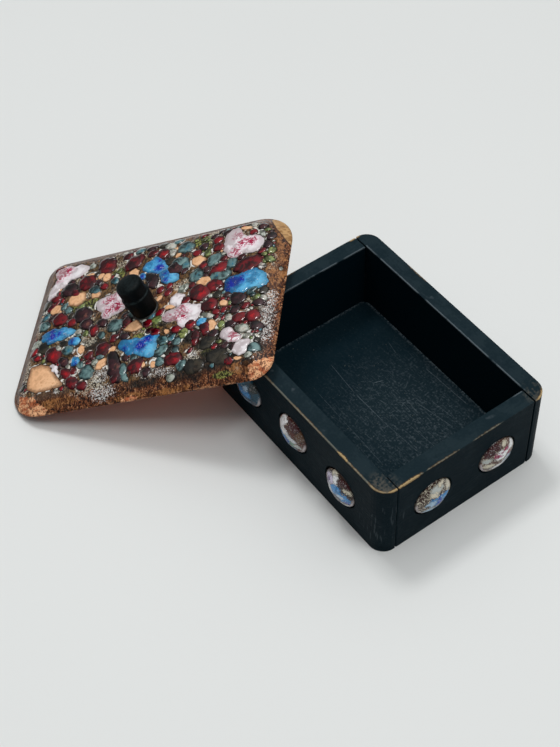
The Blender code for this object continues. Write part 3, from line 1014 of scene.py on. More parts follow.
    def ground(self) -> None:
        """The enamelled sheet: a fine relief over the pressed copper, with its rolled rim."""
        x, y, depth, shape = self.rounded_grid(0.0, self.grid)
        z = self.pressed(depth, x, y)
        y = self.squared(x, y)
        glass = self.nearest_glass(x, y)
        values = {kind: self.blots(kind, x, y) for kind in GROUND_PATCHES}
        bare = np.full(x.shape, -CLEAR)
        for corner in self.bared:
            bare = np.maximum(bare, corner.depth(x, y))
        bare = bare + layered(x, y, 2.2, 31, 3) * 0.8
        crescent = self.crescent.depth(x, y) + layered(x, y, 2.6, 33, 2) * 0.25
        relief = layered(x, y, 1.6, 3, 3) * 0.18 + layered(x, y, 5.0, 8, 2) * 0.14
        relief += np.clip(grain(x, y, 0.8, 77), 0, 1) * 0.20 * step(values["frost"], 0.4, 0.7)
        creases = np.abs(grain(x + y * 0.4, y - x * 0.5, 2.6, 14)) + 0.6 * np.abs(grain(x, y, 1.2, 15))
        relief += (creases - 0.45) * 0.55 * step(bare, -0.2, 0.6)
        meniscus = np.exp(-np.clip(glass, 0, CLEAR) / 0.6) * 0.07 * (glass > 0)
        fade = step(depth, 0.1, 1.4)
        z = z - 0.20 * fade + (relief + meniscus) * fade - 0.18 * (1 - step(depth, 0, 0.45))
        points = np.stack([x, y, z], 1)
        loop = self.border(shape)
        faces = self.grid_faces(shape)
        rim = []
        start = len(points)
        previous = loop
        slope = self.lift / self.margin
        # The rim rolls inward in rows of points: how far in, and how far down
        for turn_in, drop in ((0.16, -0.45), (0.56, -0.80), (1.6, -0.84 + 1.04 * slope)):
            share_x = (self.length / 2 - turn_in) / (self.length / 2)
            share_y = (self.width / 2 - turn_in) / (self.width / 2)
            row = np.stack([x[loop] * share_x, y[loop] * share_y, np.full(len(loop), drop)], 1)
            rim.append(row)
            current = list(range(start, start + len(loop)))
            for index in range(len(loop)):
                after = (index + 1) % len(loop)
                faces.append([previous[after], previous[index], current[index], current[after]])
            previous = current
            start += len(loop)
        points = np.concatenate([points] + rim)
        values.update(glass_gap=glass, bare=bare, inset=depth, crescent=crescent)
        rim_levels = {"glass_gap": CLEAR, "bare": -0.1, "margin_reflection": 0.2, "crescent": -CLEAR}
        for name, value in values.items():
            level = np.full(len(points) - len(x), rim_levels.get(name, 0.0))
            values[name] = np.concatenate([value, level])
        shell = Shell()
        shell.add(points, faces, lid_place=points, **values)
        shell.make("lid_ground", self.ground_enamel(), self.frame(), "lid_enamel", ["lid"])

    def ground_enamel(self) -> bpy.types.Material:
        """The ground between the lumps: speckled brown glass, frosted, burnt or bare in places."""
        bench = Bench("lid_ground_enamel")
        where = bench.attribute("lid_place", "Vector")
        gap = bench.attribute("glass_gap")
        inset = bench.attribute("inset")
        broad = bench.noise(where, 4.5, 3.0)
        speck = bench.noise(bench.stretch(where, (1.3, 0.75, 1.0)), 0.85, 4.0, 2.0, 0.9)
        fine = bench.noise(where, 0.36, 3.0, 4.0)
        smear = bench.noise(bench.stretch(where, (0.5, 1.6, 1.0)), 1.5, 3.0, 6.0, 0.8)
        grains = Grains(broad, speck, fine, smear)
        colour = self.speckled_brown(bench, grains, inset)
        colour = self.patched(bench, colour, grains)
        dots = bench.cells(where, 0.62, "F1").rise(0.50, 0.30)
        frost = bench.attribute("frost")
        ice = dots * (fine * 0.9 + speck * 0.5 + frost * 0.45).rise(1.02, 1.14)
        snow = (fine * 0.9 + speck * 0.5 + frost * 0.40).rise(1.10, 1.20)
        colour = bench.mix(colour, paint(224, 224, 222), ice.most(snow) * frost.rise(0.34, 0.66))
        colour = self.threaded(bench, colour, grains, where)
        bare = bench.attribute("bare")
        worn_edge = inset.rise(0.55, 0.2) * smear.rise(0.48, 0.60)
        metal = (bare - 0.5 + (speck - 0.5) * 2.4).rise(-0.15, 0.15).most(worn_edge * 0.45)
        colour = bench.mix(colour, self.bare_copper(bench, grains), metal)
        crescent = bench.attribute("crescent")
        streaky = (smear * 0.7 + broad * 0.4).rise(0.42, 0.64)
        tawny_glaze = bench.mix(paint(138, 98, 58), paint(196, 156, 108), streaky)
        crescent_edge = crescent.rise(-0.5, -0.1) * crescent.rise(0.45, 0.1)
        colour = bench.mix(colour, paint(60, 34, 18), crescent_edge * 0.8)
        colour = bench.mix(colour, tawny_glaze, crescent.rise(0.05, 0.35))
        # Where the reflection is painted on the margins, the glaze is kept dull
        painted_reflection = bench.attribute("margin_reflection").rise(0.2, 0.6)
        dull = metal.most(crescent.rise(0.0, 0.4)).most(painted_reflection).most(inset.rise(2.2, 0.8))
        gloss = (1.0 - dull * 0.95) * gap.rise(0.15, 0.7)
        bench.finish(base_color=colour, roughness=0.26 + fine * 0.16 + metal * 0.20, coat_weight=gloss * 0.5,
                     coat_roughness=0.03, specular_ior_level=0.16, ior=1.5)
        bench.bump(speck * 1.1 + broad * 0.8 + fine * 0.15 + ice * 0.3, 0.42, 0.85)
        return bench.material

    @staticmethod
    def speckled_brown(bench: Bench, grains: Grains, inset: Signal) -> Signal:
        """Brown glass with sandy specks and dark pits, and more olive over the lid's middle."""
        broad, speck, fine = grains.broad, grains.speck, grains.fine
        colour = bench.mix(paint(36, 16, 10), paint(122, 69, 40), speck.rise(0.42, 0.56))
        colour = bench.mix(colour, paint(198, 150, 108), (speck * 0.6 + fine * 0.6).rise(0.65, 0.76) * 0.85)
        colour = bench.mix(colour, paint(13, 6, 5), (fine * 0.6 + broad * 0.4).rise(0.50, 0.40) * 0.8)
        olive = bench.mix(paint(24, 16, 9), paint(112, 86, 50), (speck * 0.6 + fine * 0.4).rise(0.42, 0.56))
        cloudy = (broad + (speck - 0.5) * 0.3).rise(0.36, 0.52)
        return bench.mix(colour, olive, inset.rise(4.4, 6.6) * cloudy * 0.85)

    @staticmethod
    def patched(bench: Bench, colour: Signal, grains: Grains) -> Signal:
        """Lays mossy, tawny and charred patches, and grey patches of painted reflection, over a colour."""
        broad, speck, smear = grains.broad, grains.speck, grains.smear
        green = bench.mix(paint(34, 38, 16), paint(150, 162, 84), speck.rise(0.48, 0.60))
        mossy = (bench.attribute("moss") + (speck - 0.5) * 0.6).rise(0.42, 0.66)
        colour = bench.mix(colour, green, mossy * 0.8)
        sandy = (speck * 0.6 + broad * 0.5).rise(0.48, 0.64)
        tawny = bench.mix(paint(84, 44, 20), paint(172, 118, 66), sandy)
        ochred = (bench.attribute("ochre") + (speck - 0.5) * 0.7).rise(0.40, 0.75)
        colour = bench.mix(colour, tawny, ochred * 0.6)
        # Grey painted reflection on the margins that slope away
        hazy = (smear * 0.4 + speck * 0.3 + broad * 0.3).rise(0.38, 0.66)
        grey = bench.mix(paint(68, 48, 38), paint(114, 90, 75), hazy)
        painted_reflection = (bench.attribute("margin_reflection") + (broad - 0.5) * 0.7).rise(0.30, 0.75)
        colour = bench.mix(colour, grey, painted_reflection * 0.7)
        char = bench.mix(paint(8, 9, 8), paint(60, 44, 32), (speck + (smear - 0.5) * 0.4).rise(0.50, 0.68))
        burnt = (bench.attribute("burnt") + (speck - 0.5) * 0.7).rise(0.30, 0.80)
        return bench.mix(colour, char, burnt * 0.88)

    @staticmethod
    def threaded(bench: Bench, colour: Signal, grains: Grains, where: Signal) -> Signal:
        """Lays over a colour the lumps' dark outlines, burnt glass with painted shade in their creases, cream
        threads that are partly painted highlight, and white fringes of painted highlight.
        """
        speck, fine = grains.speck, grains.fine
        gap, inset = bench.attribute("glass_gap"), bench.attribute("inset")
        # Dark outline round each lump: burnt glass, and painted shade in the crease about it
        outline = (gap + (fine - 0.5) * 0.35).rise(0.45, 0.10)
        colour = bench.mix(colour, paint(12, 6, 6), outline * 0.75)
        # Cream threads: partly glass threads, partly painted highlight
        thread = (1.0 - abs(bench.noise(where, 2.0, 2.0, 12.0, 2.2) - 0.5) * 13.0).most(0.0)
        threads = bench.noise(where, 7.0, 2.0, 13.0).rise(0.52, 0.60) * gap.rise(0.0, 0.2)
        cream = thread.rise(0.25, 0.5) * threads * (speck + fine).rise(0.88, 1.02)
        colour = bench.mix(colour, paint(226, 218, 198), cream * inset.rise(2.5, 5.5) * 0.8)
        middle = inset.rise(4.4, 6.6)
        # White fringes hugging the lumps: painted highlight
        fringe_highlight = (gap + (fine - 0.5) * 0.6).rise(0.80, 0.42) * gap.rise(0.0, 0.15) * middle
        fringe_highlight_patches = bench.noise(where, 4.6, 3.0, 17.0, 0.8).rise(0.57, 0.63)
        return bench.mix(colour, paint(238, 236, 230), fringe_highlight * fringe_highlight_patches * 0.95)

    @staticmethod
    def bare_copper(bench: Bench, grains: Grains) -> Signal:
        """Brushed copper with dark pits."""
        brushed = (grains.broad * 0.5 + grains.smear * 0.7).rise(0.50, 0.66)
        copper = bench.mix(paint(186, 104, 66), paint(244, 186, 140), brushed)
        pits = (grains.fine * 0.3 + grains.speck * 0.7).rise(0.52, 0.43) * 0.85
        return bench.mix(copper, paint(96, 48, 30), pits)

    def back(self) -> None:
        """The hollow underside: bare copper, browned by the kiln."""
        x, y, depth, shape = self.rounded_grid(self.back_inset, self.back_grid)
        rise = self.lift / self.margin
        slope = depth * self.lift / self.margin - 0.83 + (self.back_inset - 0.56) * rise
        z = self.soft_ridge(self.lift - self.sheet + self.swell(x, y), slope)
        z += layered(x, y, 9.0, 5, 2) * 0.06 * step(depth, 0.5, 3.0)
        points = np.stack([x, self.squared(x, y), z], 1)
        shell = Shell()
        shell.add(points, self.grid_faces(shape, upward=False), lid_place=points)
        shell.make("lid_back", self.browned_copper(), self.frame(), "lid_enamel", ["lid"])

    def browned_copper(self) -> bpy.types.Material:
        """Copper with a reddish brown kiln skin and brighter rubbed patches."""
        bench = Bench("browned_copper")
        where = bench.attribute("lid_place", "Vector")
        broad = bench.noise(where, 16.0, 4.0, 0.0, 0.6)
        speck = bench.noise(where, 0.9, 4.0)
        skin = bench.mix(paint(172, 62, 18), paint(240, 116, 34), broad.rise(0.35, 0.62))
        colour = bench.mix(skin, paint(220, 138, 98), (broad * 0.6 + speck * 0.6).rise(0.62, 0.80) * 0.8)
        bench.finish(base_color=colour, metallic=0.12, roughness=0.42 + speck * 0.2, ior=1.5)
        bench.bump(speck, 0.12, 0.5)
        return bench.material

    def outline(self, flake: Flake, spokes: int) -> Tuple[float, float, Array, Array]:
        """Outline of a flake: the reach of its blended lobes from their middle, by direction."""
        weights = np.array([lobe[2] ** 2 for lobe in flake.lobes])
        lobes = np.array(flake.lobes)
        middle_x, middle_y = (float((lobes[:, axis] * weights).sum() / weights.sum()) for axis in (0, 1))
        angle = np.linspace(0, 2 * math.pi, spokes, endpoint=False)
        reach = np.zeros(spokes)
        for distance in np.linspace(0.2, 14.0, 140):
            px, py = middle_x + distance * np.cos(angle), middle_y + distance * np.sin(angle)
            pull = sum(np.exp(-(np.hypot(px - lobe_x, py - lobe_y) - radius) / (flake.blend * 0.35))
                       for lobe_x, lobe_y, radius in flake.lobes)
            reach = np.where(pull > 1, distance, reach)
        seed = int(abs(middle_x * 31 + middle_y * 17)) + 5
        edge_x, edge_y = reach * np.cos(angle), reach * np.sin(angle)
        ragged = grain(edge_x, edge_y, 2.6, seed) * 0.55 + grain(edge_x, edge_y, 1.1, seed + 1) * 0.38
        smooth = (np.roll(reach, 1) + 2 * reach + np.roll(reach, -1)) / 4
        return middle_x, middle_y, angle, smooth + ragged

    def raise_lump(self, shells: Dict[Glass, Shell], glass: Glass, middle: Point,
                   angle: Array, reach: Array, height: float, flat: float, number: float,
                   hearts: Sequence[Circle] = (), rings: int = 6) -> None:
        """Adds one lump of glass to the shell of its kind.

        Args:
            shells: The shells by glass.
            glass: The kind of glass.
            middle: Its middle on the lid.
            angle: Directions of its outline.
            reach: Distance of its outline in each direction.
            height: How far it stands over the sheet.
            flat: 2 for a round drop, more for a flow with a flat top.
            number: Its own random number, 0 to 1.
            hearts: Spots of deeper colour: place and radius.
            rings: Rings of its mesh.
        """
        shares = np.sin(np.linspace(0, math.pi / 2, rings + 1))[1:]
        shares = np.append(shares, 1.02)
        spokes = len(angle)
        px = middle[0] + np.concatenate([[0.0], *(reach * share * np.cos(angle) for share in shares)])
        py = middle[1] + np.concatenate([[0.0], *(reach * share * np.sin(angle) for share in shares)])
        out = np.concatenate([[0.0], np.repeat(shares, spokes)])
        rise = height * np.clip(1 - np.minimum(out, 1) ** flat, 0, 1) ** 0.62
        wobble = layered(px, py, 2.6, int(number * 900) + 3, 2) * 0.26
        wobble = wobble * np.clip(1 - out ** 3, 0, 1) * min(1.0, height)
        pz = self.surface(px, py) - 0.26 + rise + wobble - 0.5 * (out > 1.01)
        size = float(reach.mean())
        side = ((px - middle[0]) * 0.79 - (py - middle[1]) * 0.61) / size
        depth = np.full(len(px), -CLEAR)
        for heart_x, heart_y, radius in hearts:
            depth = np.maximum(depth, radius - np.hypot(px - heart_x, py - heart_y))
        points = np.stack([px, py, pz], 1)
        shells.setdefault(glass, Shell()).add(
            points, ring_faces(rings + 1, spokes), lid_place=points, lump_number=np.full(len(px), number),
            edgeward=out, lightward=np.clip(side, -1, 1), heart_depth=depth)

    def enamel(self) -> None:
        """Lays every flake, shard, lump and crumb of glass on the sheet, one piece for each glass."""
        shells: Dict[Glass, Shell] = {}
        dice = np.random.default_rng(20)
        for flake in self.flakes:
            middle_x, middle_y, angle, reach = self.outline(flake, 110)
            self.raise_lump(shells, flake.glass, (middle_x, middle_y), angle, reach, flake.height, 4.0,
                            float(dice.random()), flake.hearts, 16)
        for shard in self.shards:
            angle = np.linspace(0, 2 * math.pi, 90, endpoint=False)
            self.raise_lump(shells, shard.glass, shard.middle(), angle, shard.outline(angle),
                            shard.height, 14.0, float(dice.random()), (), 12)
        for lump in self.lumps:
            self.drop(shells, lump, dice, 32, 8)
        for lump in self.crumbs:
            self.drop(shells, lump, dice, *((14, 4) if lump.long > 0.8 else (10, 3)))
        for glass, shell in shells.items():
            shell.make(f"lid_glass_{glass.value}", FINISHES[glass].make(glass), self.frame(),
                       "lid_enamel", ["lid"])

    def drop(self, shells: Dict[Glass, Shell], lump: Lump, dice: np.random.Generator, spokes: int,
             rings: int) -> None:
        """Adds one ragged oval drop.

        Args:
            shells: The shells by glass.
            lump: The drop.
            dice: Source of its ragged edge and its colour.
            spokes: Points around its outline.
            rings: Rings of its mesh.
        """
        angle = np.linspace(0, 2 * math.pi, spokes, endpoint=False)
        turned = angle - math.radians(lump.turn)
        oval = lump.long * lump.wide / np.hypot(lump.wide * np.cos(turned), lump.long * np.sin(turned))
        seed = int(dice.integers(1, 9000))
        size = math.sqrt(lump.long * lump.wide)
        round_x, round_y = np.cos(angle) * 2, np.sin(angle) * 2
        ragged = (1.18 if size > BROAD_DROP else 1.04) + 0.25 * grain(round_x, round_y, 1.3, seed)
        ragged += 0.13 * grain(round_x, round_y, 0.6, seed + 3)
        flat_glass = lump.glass in (Glass.TAN, Glass.SMOKE)
        height = lump.height or (0.38 if flat_glass else min(0.66, 0.19 + 0.20 * size))
        # Half the drops get a spot of heart colour toward the lit side: painted glow of light through the
        # glass
        hearts = ((lump.x + 0.3 * size, lump.y - 0.25 * size, 0.35 * size),) if dice.random() < 0.5 else ()
        self.raise_lump(shells, lump.glass, (lump.x, lump.y), angle, oval * ragged, height,
                        8.0 if flat_glass else 3.8, float(dice.random()), hearts, rings)

    def scatter(self) -> None:
        """Fills the room between the lumps of the field with small drops, the larger ones first."""
        dice = np.random.default_rng(7)
        half_x, half_y = self.scatter_half
        pitch = self.scatter_pitch
        x, y = np.meshgrid(np.arange(-half_x, half_x, pitch), np.arange(-half_y, half_y - 0.5, pitch))
        room = np.minimum(self.nearest_glass(x, y) + 0.10, self.inset(x, y) - self.rim_clearance)
        frost = self.blots("frost", x, y)
        sparse = np.maximum(self.blots("ochre", x, y) * 0.95, self.blots("burnt", x, y) * 0.75)
        sparse = np.maximum(sparse, frost * 0.95)
        for corner in (self.crescent, *self.bared):
            room = np.where(corner.depth(x, y) > -1.5, 0.0, room)
        room = np.where((y < -29.5) & (x < 30.0), 0.0, room)
        moss = self.blots("moss", x, y)
        milk = layered(x, y, 9.0, 91, 2) + frost
        open_ground = layered(x, y, 6.5, 93, 2)
        kinds = [Glass.GARNET, Glass.PLUM, Glass.SEA, Glass.TAN, Glass.PEARL, Glass.MOSS, Glass.SMOKE]
        for size in self.drop_sizes:
            needed = size * self.drop_room
            spots = np.argwhere(room > needed)
            dice.shuffle(spots)
            for row, column in spots:
                if room[row, column] < needed:
                    continue
                bald = 0.50 if size > BROAD_DROP else 0.76
                bald += 0.7 * float(step(open_ground[row, column], -0.35, 0.20))
                if dice.random() < max(sparse[row, column] * 0.85, bald):
                    room[row, column] = 0.0
                    continue
                spot_x = float(x[row, column] + dice.uniform(-0.1, 0.1))
                spot_y = float(y[row, column] + dice.uniform(-0.1, 0.1))
                reach = size * dice.uniform(0.88, 1.05)
                pearls = 0.10 + 0.22 * float(np.clip(milk[row, column], 0, 1)) * (size < BROAD_DROP)
                greens = 0.04 + 0.22 * float(step(moss[row, column], 0.4, 0.8))
                odds = np.array([0.33, 0.22, 0.14, 0.04, pearls, greens, 0.10])
                glass = kinds[int(dice.choice(len(kinds), p=odds / odds.sum()))]
                long = reach * dice.uniform(1.0, 1.45)
                low_lump = 0.21 + 0.17 * reach
                self.crumbs.append(Lump(glass, spot_x, spot_y, long, reach, dice.uniform(0, 180), low_lump))
                # Only the room within four millimetres of the drop can shrink
                about = (slice(max(0, row - 16), row + 17), slice(max(0, column - 16), column + 17))
                away = np.hypot(x[about] - spot_x, y[about] - spot_y) - reach * 1.06
                room[about] = np.minimum(room[about], away)
        log.info("crumbs of glass between the lumps: %d", len(self.crumbs))

    def build(self) -> None:
        """Makes the sheet, its underside and all the glass."""
        self.scatter()
        self.ground()
        self.back()
        self.enamel()


def lid_flakes() -> List[Flake]:
    """The broad flows of glass, where the lid shows them."""
    rose, sky = Glass.ROSE, Glass.SKY
    return [
        Flake(rose, ((-40.5, 28.5, 3.9), (-35.0, 27.8, 3.8), (-31.8, 28.2, 2.0), (-40.8, 23.6, 3.4),
                     (-43.4, 20.2, 2.4), (-44.4, 16.6, 1.5)),
              ((-40.2, 29.0, 1.8), (-42.5, 26.5, 1.0))),
        Flake(rose, ((-18.2, 7.0, 3.9), (-14.0, 8.6, 3.0), (-12.6, 3.4, 3.3), (-16.5, 1.0, 2.6)),
              ((-16.4, 7.2, 1.2), (-15.0, 10.2, 0.9), (-12.6, 3.4, 1.3), (-15.6, 1.8, 0.8))),
        Flake(rose, ((29.2, 28.6, 3.4), (30.3, 23.5, 4.7), (37.2, 21.6, 4.7), (31.0, 19.6, 3.4)),
              ((31.2, 27.2, 0.8), (33.6, 22.8, 0.9), (37.0, 22.9, 1.0), (31.0, 18.6, 1.1))),
        Flake(rose, ((10.2, -6.2, 3.0), (15.2, -5.2, 4.0), (17.6, -9.2, 4.0), (20.0, -5.6, 2.6)),
              ((8.8, -7.4, 0.8), (12.2, -8.2, 1.2), (15.4, -7.4, 1.0), (14.0, -4.2, 0.7))),
        Flake(rose, ((11.6, 0.9, 2.9), (12.4, -0.4, 2.2))),
        Flake(rose, ((33.6, -19.0, 2.8), (35.8, -21.4, 2.3), (37.6, -21.8, 1.7)), ((37.0, -21.0, 1.0),)),
        Flake(rose, ((40.0, -26.0, 3.0), (39.6, -27.3, 2.9))),
        Flake(rose, ((-34.4, -18.0, 1.0), (-33.0, -19.8, 1.1), (-31.8, -21.6, 0.7)), (), 0.6, 1.2),
        Flake(sky, ((-3.0, 21.6, 3.1), (0.8, 20.2, 3.2), (-0.8, 24.4, 2.0), (2.4, 18.8, 2.0)),
              ((1.4, 19.0, 1.5), (0.8, 22.8, 0.6))),
        Flake(sky, ((4.0, 15.6, 2.3), (5.8, 12.4, 2.7), (8.4, 12.2, 2.3)),
              ((4.8, 15.2, 0.7), (5.4, 12.0, 0.6))),
        Flake(sky, ((33.0, 3.6, 4.0), (38.8, 4.8, 4.8), (42.0, 2.6, 3.8), (35.6, 0.4, 3.0)),
              ((32.8, 3.8, 2.4), (35.6, 4.4, 1.4), (31.2, 1.2, 1.0))),
        Flake(sky, ((-41.0, -3.0, 2.3), (-37.4, -3.4, 3.6), (-33.8, -3.6, 3.3), (-30.4, -3.6, 2.1)),
              ((-37.6, -4.0, 1.5), (-35.2, -3.6, 0.9), (-38.6, -1.2, 1.0))),
        Flake(sky, ((-27.6, -8.3, 2.4), (-26.0, -9.2, 1.5)), ((-28.4, -8.8, 0.7),)),
        Flake(sky, ((-6.4, -15.4, 2.3), (-2.4, -17.0, 3.6), (3.0, -17.6, 4.6), (5.2, -21.0, 2.6),
                    (6.6, -14.8, 1.5)),
              ((1.0, -17.6, 1.9), (3.4, -15.2, 1.4), (-5.4, -17.4, 0.8))),
        Flake(sky, ((-4.7, 16.2, 1.3), (-5.4, 17.8, 0.9)), ((-4.7, 16.0, 0.8),), 0.8),
        Flake(sky, ((23.0, -12.1, 1.5), (24.0, -11.5, 0.9)), (), 0.8),
        Flake(sky, ((-24.8, -19.0, 1.8), (-25.4, -17.4, 1.1)), ((-24.6, -20.2, 0.7),), 0.8),
    ]


def lid_shards() -> List[Shard]:
    """The flat matte pieces with straight sides."""
    return [
        Shard(Glass.TAN, ((-44.0, -16.6), (-44.0, -22.0), (-43.0, -27.0), (-38.8, -29.4), (-30.7, -29.0),
                          (-27.4, -28.4), (-36.1, -17.7), (-39.6, -16.1))),
        Shard(Glass.TAN, ((-7.9, -8.6), (-3.8, -10.3), (-1.7, -10.3), (0.6, -9.0), (-2.9, -4.4),
                          (-5.6, -5.5))),
        Shard(Glass.TAN, ((-11.6, 20.4), (-10.6, 17.4), (-7.0, 17.6), (-6.8, 20.4), (-9.0, 22.0))),
    ]


def lid_lumps() -> List[Lump]:
    """The drops that can be told apart, where the lid shows them.

    Each has its middle, its half length and half width, and its turn in degrees.
    """
    rows = {
        Glass.GARNET: (
            (-10.3, 25.4, 4.0, 3.1, 95), (-21.8, 27.2, 4.2, 3.4, 110), (1.3, 26.4, 2.8, 2.1, 100),
            (-29.0, 20.4, 3.9, 3.0, -40), (-20.9, 16.2, 1.9, 1.3, -45), (-33.4, 16.2, 2.6, 1.4, -35),
            (-42.2, 11.2, 1.7, 1.4, 60), (-36.6, 4.0, 3.2, 2.7, -30), (-20.4, -5.0, 2.6, 1.9, -70),
            (-14.5, -15.4, 2.9, 2.9, 0), (-10.7, -11.3, 1.8, 1.6, 0), (5.6, -12.4, 2.0, 1.6, -30),
            (0.2, -26.0, 3.2, 3.1, 0), (15.0, -26.0, 3.3, 2.5, -10), (15.6, 22.8, 2.0, 1.5, -25),
            (19.3, 15.8, 1.9, 1.5, 90), (25.8, 12.4, 3.6, 2.4, 20), (37.2, 11.4, 5.0, 3.6, 20),
            (20.2, 2.0, 4.0, 3.4, -35), (25.4, 4.2, 3.1, 2.6, -50), (15.1, -0.3, 1.9, 1.7, 0),
            (25.0, -4.6, 3.3, 2.6, -20), (29.6, -3.0, 1.2, 1.0, 0), (38.9, -8.0, 1.7, 1.4, 0),
            (31.0, -8.0, 1.5, 1.2, 60), (37.4, -13.2, 2.4, 2.1, 20), (42.3, -13.0, 2.9, 2.4, -30),
            (19.2, -12.0, 2.6, 1.8, 110), (28.5, -10.8, 1.2, 1.1, 0), (31.4, -11.8, 1.3, 0.9, 80),
            (24.9, -15.0, 2.8, 1.7, 110), (22.0, -18.6, 3.6, 1.5, 95), (36.0, -31.6, 1.8, 1.5, -20),
            (-35.6, -13.0, 4.2, 2.6, -50), (-42.4, -12.8, 2.0, 1.3, -20), (-27.9, -23.4, 3.0, 1.7, -50),
            (-24.9, -27.4, 2.9, 2.0, -45), (-20.2, -30.0, 2.0, 1.8, -20), (20.8, -24.0, 1.4, 1.0, 40),
            (-7.0, -29.6, 2.0, 1.8, 80), (-38.0, 13.8, 1.5, 1.0, -60), (24.0, 23.4, 2.4, 1.9, -30),
        ),
        Glass.PLUM: (
            (-36.2, 18.2, 3.0, 2.9, -40), (-26.6, 3.6, 4.4, 3.2, -50), (-24.2, -1.4, 3.0, 2.4, -50),
            (-17.4, -2.6, 2.2, 1.8, -40), (-6.6, -11.4, 2.0, 1.4, 0), (8.2, 17.3, 3.9, 2.8, -35),
            (-0.6, 13.2, 4.4, 2.1, -62), (26.4, 30.4, 2.0, 1.3, 35), (-4.2, 31.6, 2.3, 1.5, 10),
            (35.8, -4.0, 3.0, 2.5, -40), (-8.2, -24.2, 6.6, 2.5, -72), (-30.2, -17.2, 2.6, 1.7, -50),
            (34.6, -15.4, 1.9, 1.5, 0), (28.6, -18.4, 1.8, 1.6, 0), (3.4, -11.2, 1.6, 1.2, 0),
            (36.7, -25.6, 1.3, 1.3, 0), (12.2, 14.8, 1.2, 1.6, 0), (-4.6, -21.6, 1.8, 1.0, -40),
            (21.5, 30.0, 1.6, 1.0, 20), (-23.6, 18.8, 1.6, 1.0, -60), (29.5, 24.4, 2.0, 0.9, -55),
        ),
        Glass.SEA: (
            (9.4, 20.2, 3.4, 2.4, -20), (12.0, 18.0, 1.7, 2.4, 20), (23.2, 17.2, 3.0, 2.4, 50),
            (17.4, 11.2, 2.8, 2.4, 100), (28.4, 8.4, 2.5, 2.2, 40), (30.6, 13.6, 2.6, 1.8, 70),
            (25.4, 8.6, 2.2, 1.9, 60), (-11.5, -5.4, 3.2, 2.7, -35), (-16.4, -8.6, 1.7, 1.3, -50),
            (-15.0, -18.8, 1.5, 1.0, 0), (-24.6, 15.4, 2.6, 1.9, -30), (-43.0, 2.4, 2.6, 2.2, -20),
            (-29.4, -12.4, 2.6, 2.0, -30), (-19.2, -24.6, 3.2, 2.6, -60), (-4.4, -26.6, 2.8, 1.5, -75),
            (9.4, -21.8, 2.6, 2.0, 30), (9.6, -26.2, 1.9, 1.9, 0), (12.6, -16.6, 1.7, 1.4, 40),
            (10.5, 27.2, 2.9, 2.9, 0), (-16.5, 17.6, 2.0, 1.5, -50), (-22.6, -20.6, 1.8, 1.2, -60),
            (-3.4, -29.8, 2.0, 1.2, -60), (40.6, -1.4, 2.2, 1.2, 30), (-26.4, -6.2, 1.2, 0.8, 0),
        ),
        Glass.TAN: (
            (-31.4, 12.8, 3.7, 2.8, -30), (-39.8, 9.6, 2.2, 1.9, -30), (-23.4, 12.6, 1.8, 1.4, -20),
            (-28.6, 23.8, 1.8, 0.9, 10), (17.0, 18.4, 2.5, 2.3, 0), (21.3, 7.4, 2.7, 1.9, 10),
            (-13.8, -22.2, 2.1, 1.7, 70), (-10.4, -17.0, 1.9, 1.1, 80), (-23.6, -13.4, 2.2, 1.2, 110),
            (7.4, -27.0, 1.6, 1.0, 110), (3.4, -26.2, 1.4, 0.9, 100), (27.4, -14.4, 2.4, 1.6, 100),
            (6.2, 27.4, 1.2, 0.9, 0), (39.2, -31.2, 1.5, 0.8, -10), (9.4, -1.9, 1.8, 0.9, 0),
            (4.4, 3.4, 1.4, 1.0, 60), (10.2, -13.4, 1.4, 0.9, -40), (33.6, 30.6, 2.2, 0.8, -15),
        ),
        Glass.MOSS: (
            (20.0, 21.8, 1.7, 1.3, 110), (17.6, 29.2, 1.3, 0.9, 30), (42.2, 27.4, 1.4, 0.8, -10),
            (45.3, 16.8, 1.5, 1.2, 60), (42.8, 15.2, 1.3, 1.1, 0), (45.0, 12.6, 1.9, 1.3, -30),
            (42.6, -4.8, 1.6, 1.2, 40), (33.0, -5.2, 0.9, 1.2, 0), (31.4, -22.4, 1.4, 0.9, -20),
            (-28.6, 8.2, 1.7, 1.1, 20), (-15.8, 22.6, 1.5, 1.0, 70), (14.2, 29.8, 1.2, 0.8, 0),
        ),
        Glass.PEARL: (
            (39.2, -18.4, 2.6, 1.7, -20), (13.4, 6.0, 1.9, 1.8, 0), (14.4, -33.4, 1.7, 1.3, -10),
            (5.4, 26.2, 1.8, 1.2, 80), (-28.6, 28.8, 1.6, 1.2, -40), (24.6, 15.0, 1.3, 0.8, -50),
            (-34.0, -10.2, 1.5, 1.0, -40), (25.2, -9.6, 2.2, 1.0, -30), (22.0, -14.2, 1.6, 0.6, -40),
            (40.6, 26.0, 1.9, 0.8, -55), (48.9, 8.9, 0.9, 0.7, 90), (42.4, 10.4, 1.6, 0.6, -20),
            (-37.8, -13.6, 1.5, 0.8, -10), (45.0, -22.4, 1.6, 0.7, -30), (-12.6, 27.8, 0.9, 0.6, 60),
        ),
        Glass.SMOKE: (
            (27.0, -22.0, 3.0, 2.2, 30), (31.8, -28.8, 4.0, 3.0, -20), (23.0, -31.0, 3.0, 2.6, 0),
            (-40.6, -8.6, 2.6, 2.0, -50), (5.0, 21.4, 2.4, 1.7, -20), (42.8, -33.0, 1.8, 1.3, 0),
            (20.0, -17.6, 1.8, 1.4, 60), (-31.8, -8.6, 2.0, 1.2, -30), (12.4, -22.6, 1.4, 1.8, 0),
        ),
    }
    return [Lump(glass, *row) for glass, group in rows.items() for row in group]


# The discs in the walls

@dataclass(frozen=True)
class DiscPainting:
    """Colours laid on one disc: a granular ground, then patches over it.

    Each patch has its middle, its half length and half width, and its colour.
    """
    ground: Colour
    speckle: Colour
    share: float
    patches: Tuple[Tuple[float, float, float, float, Colour], ...]


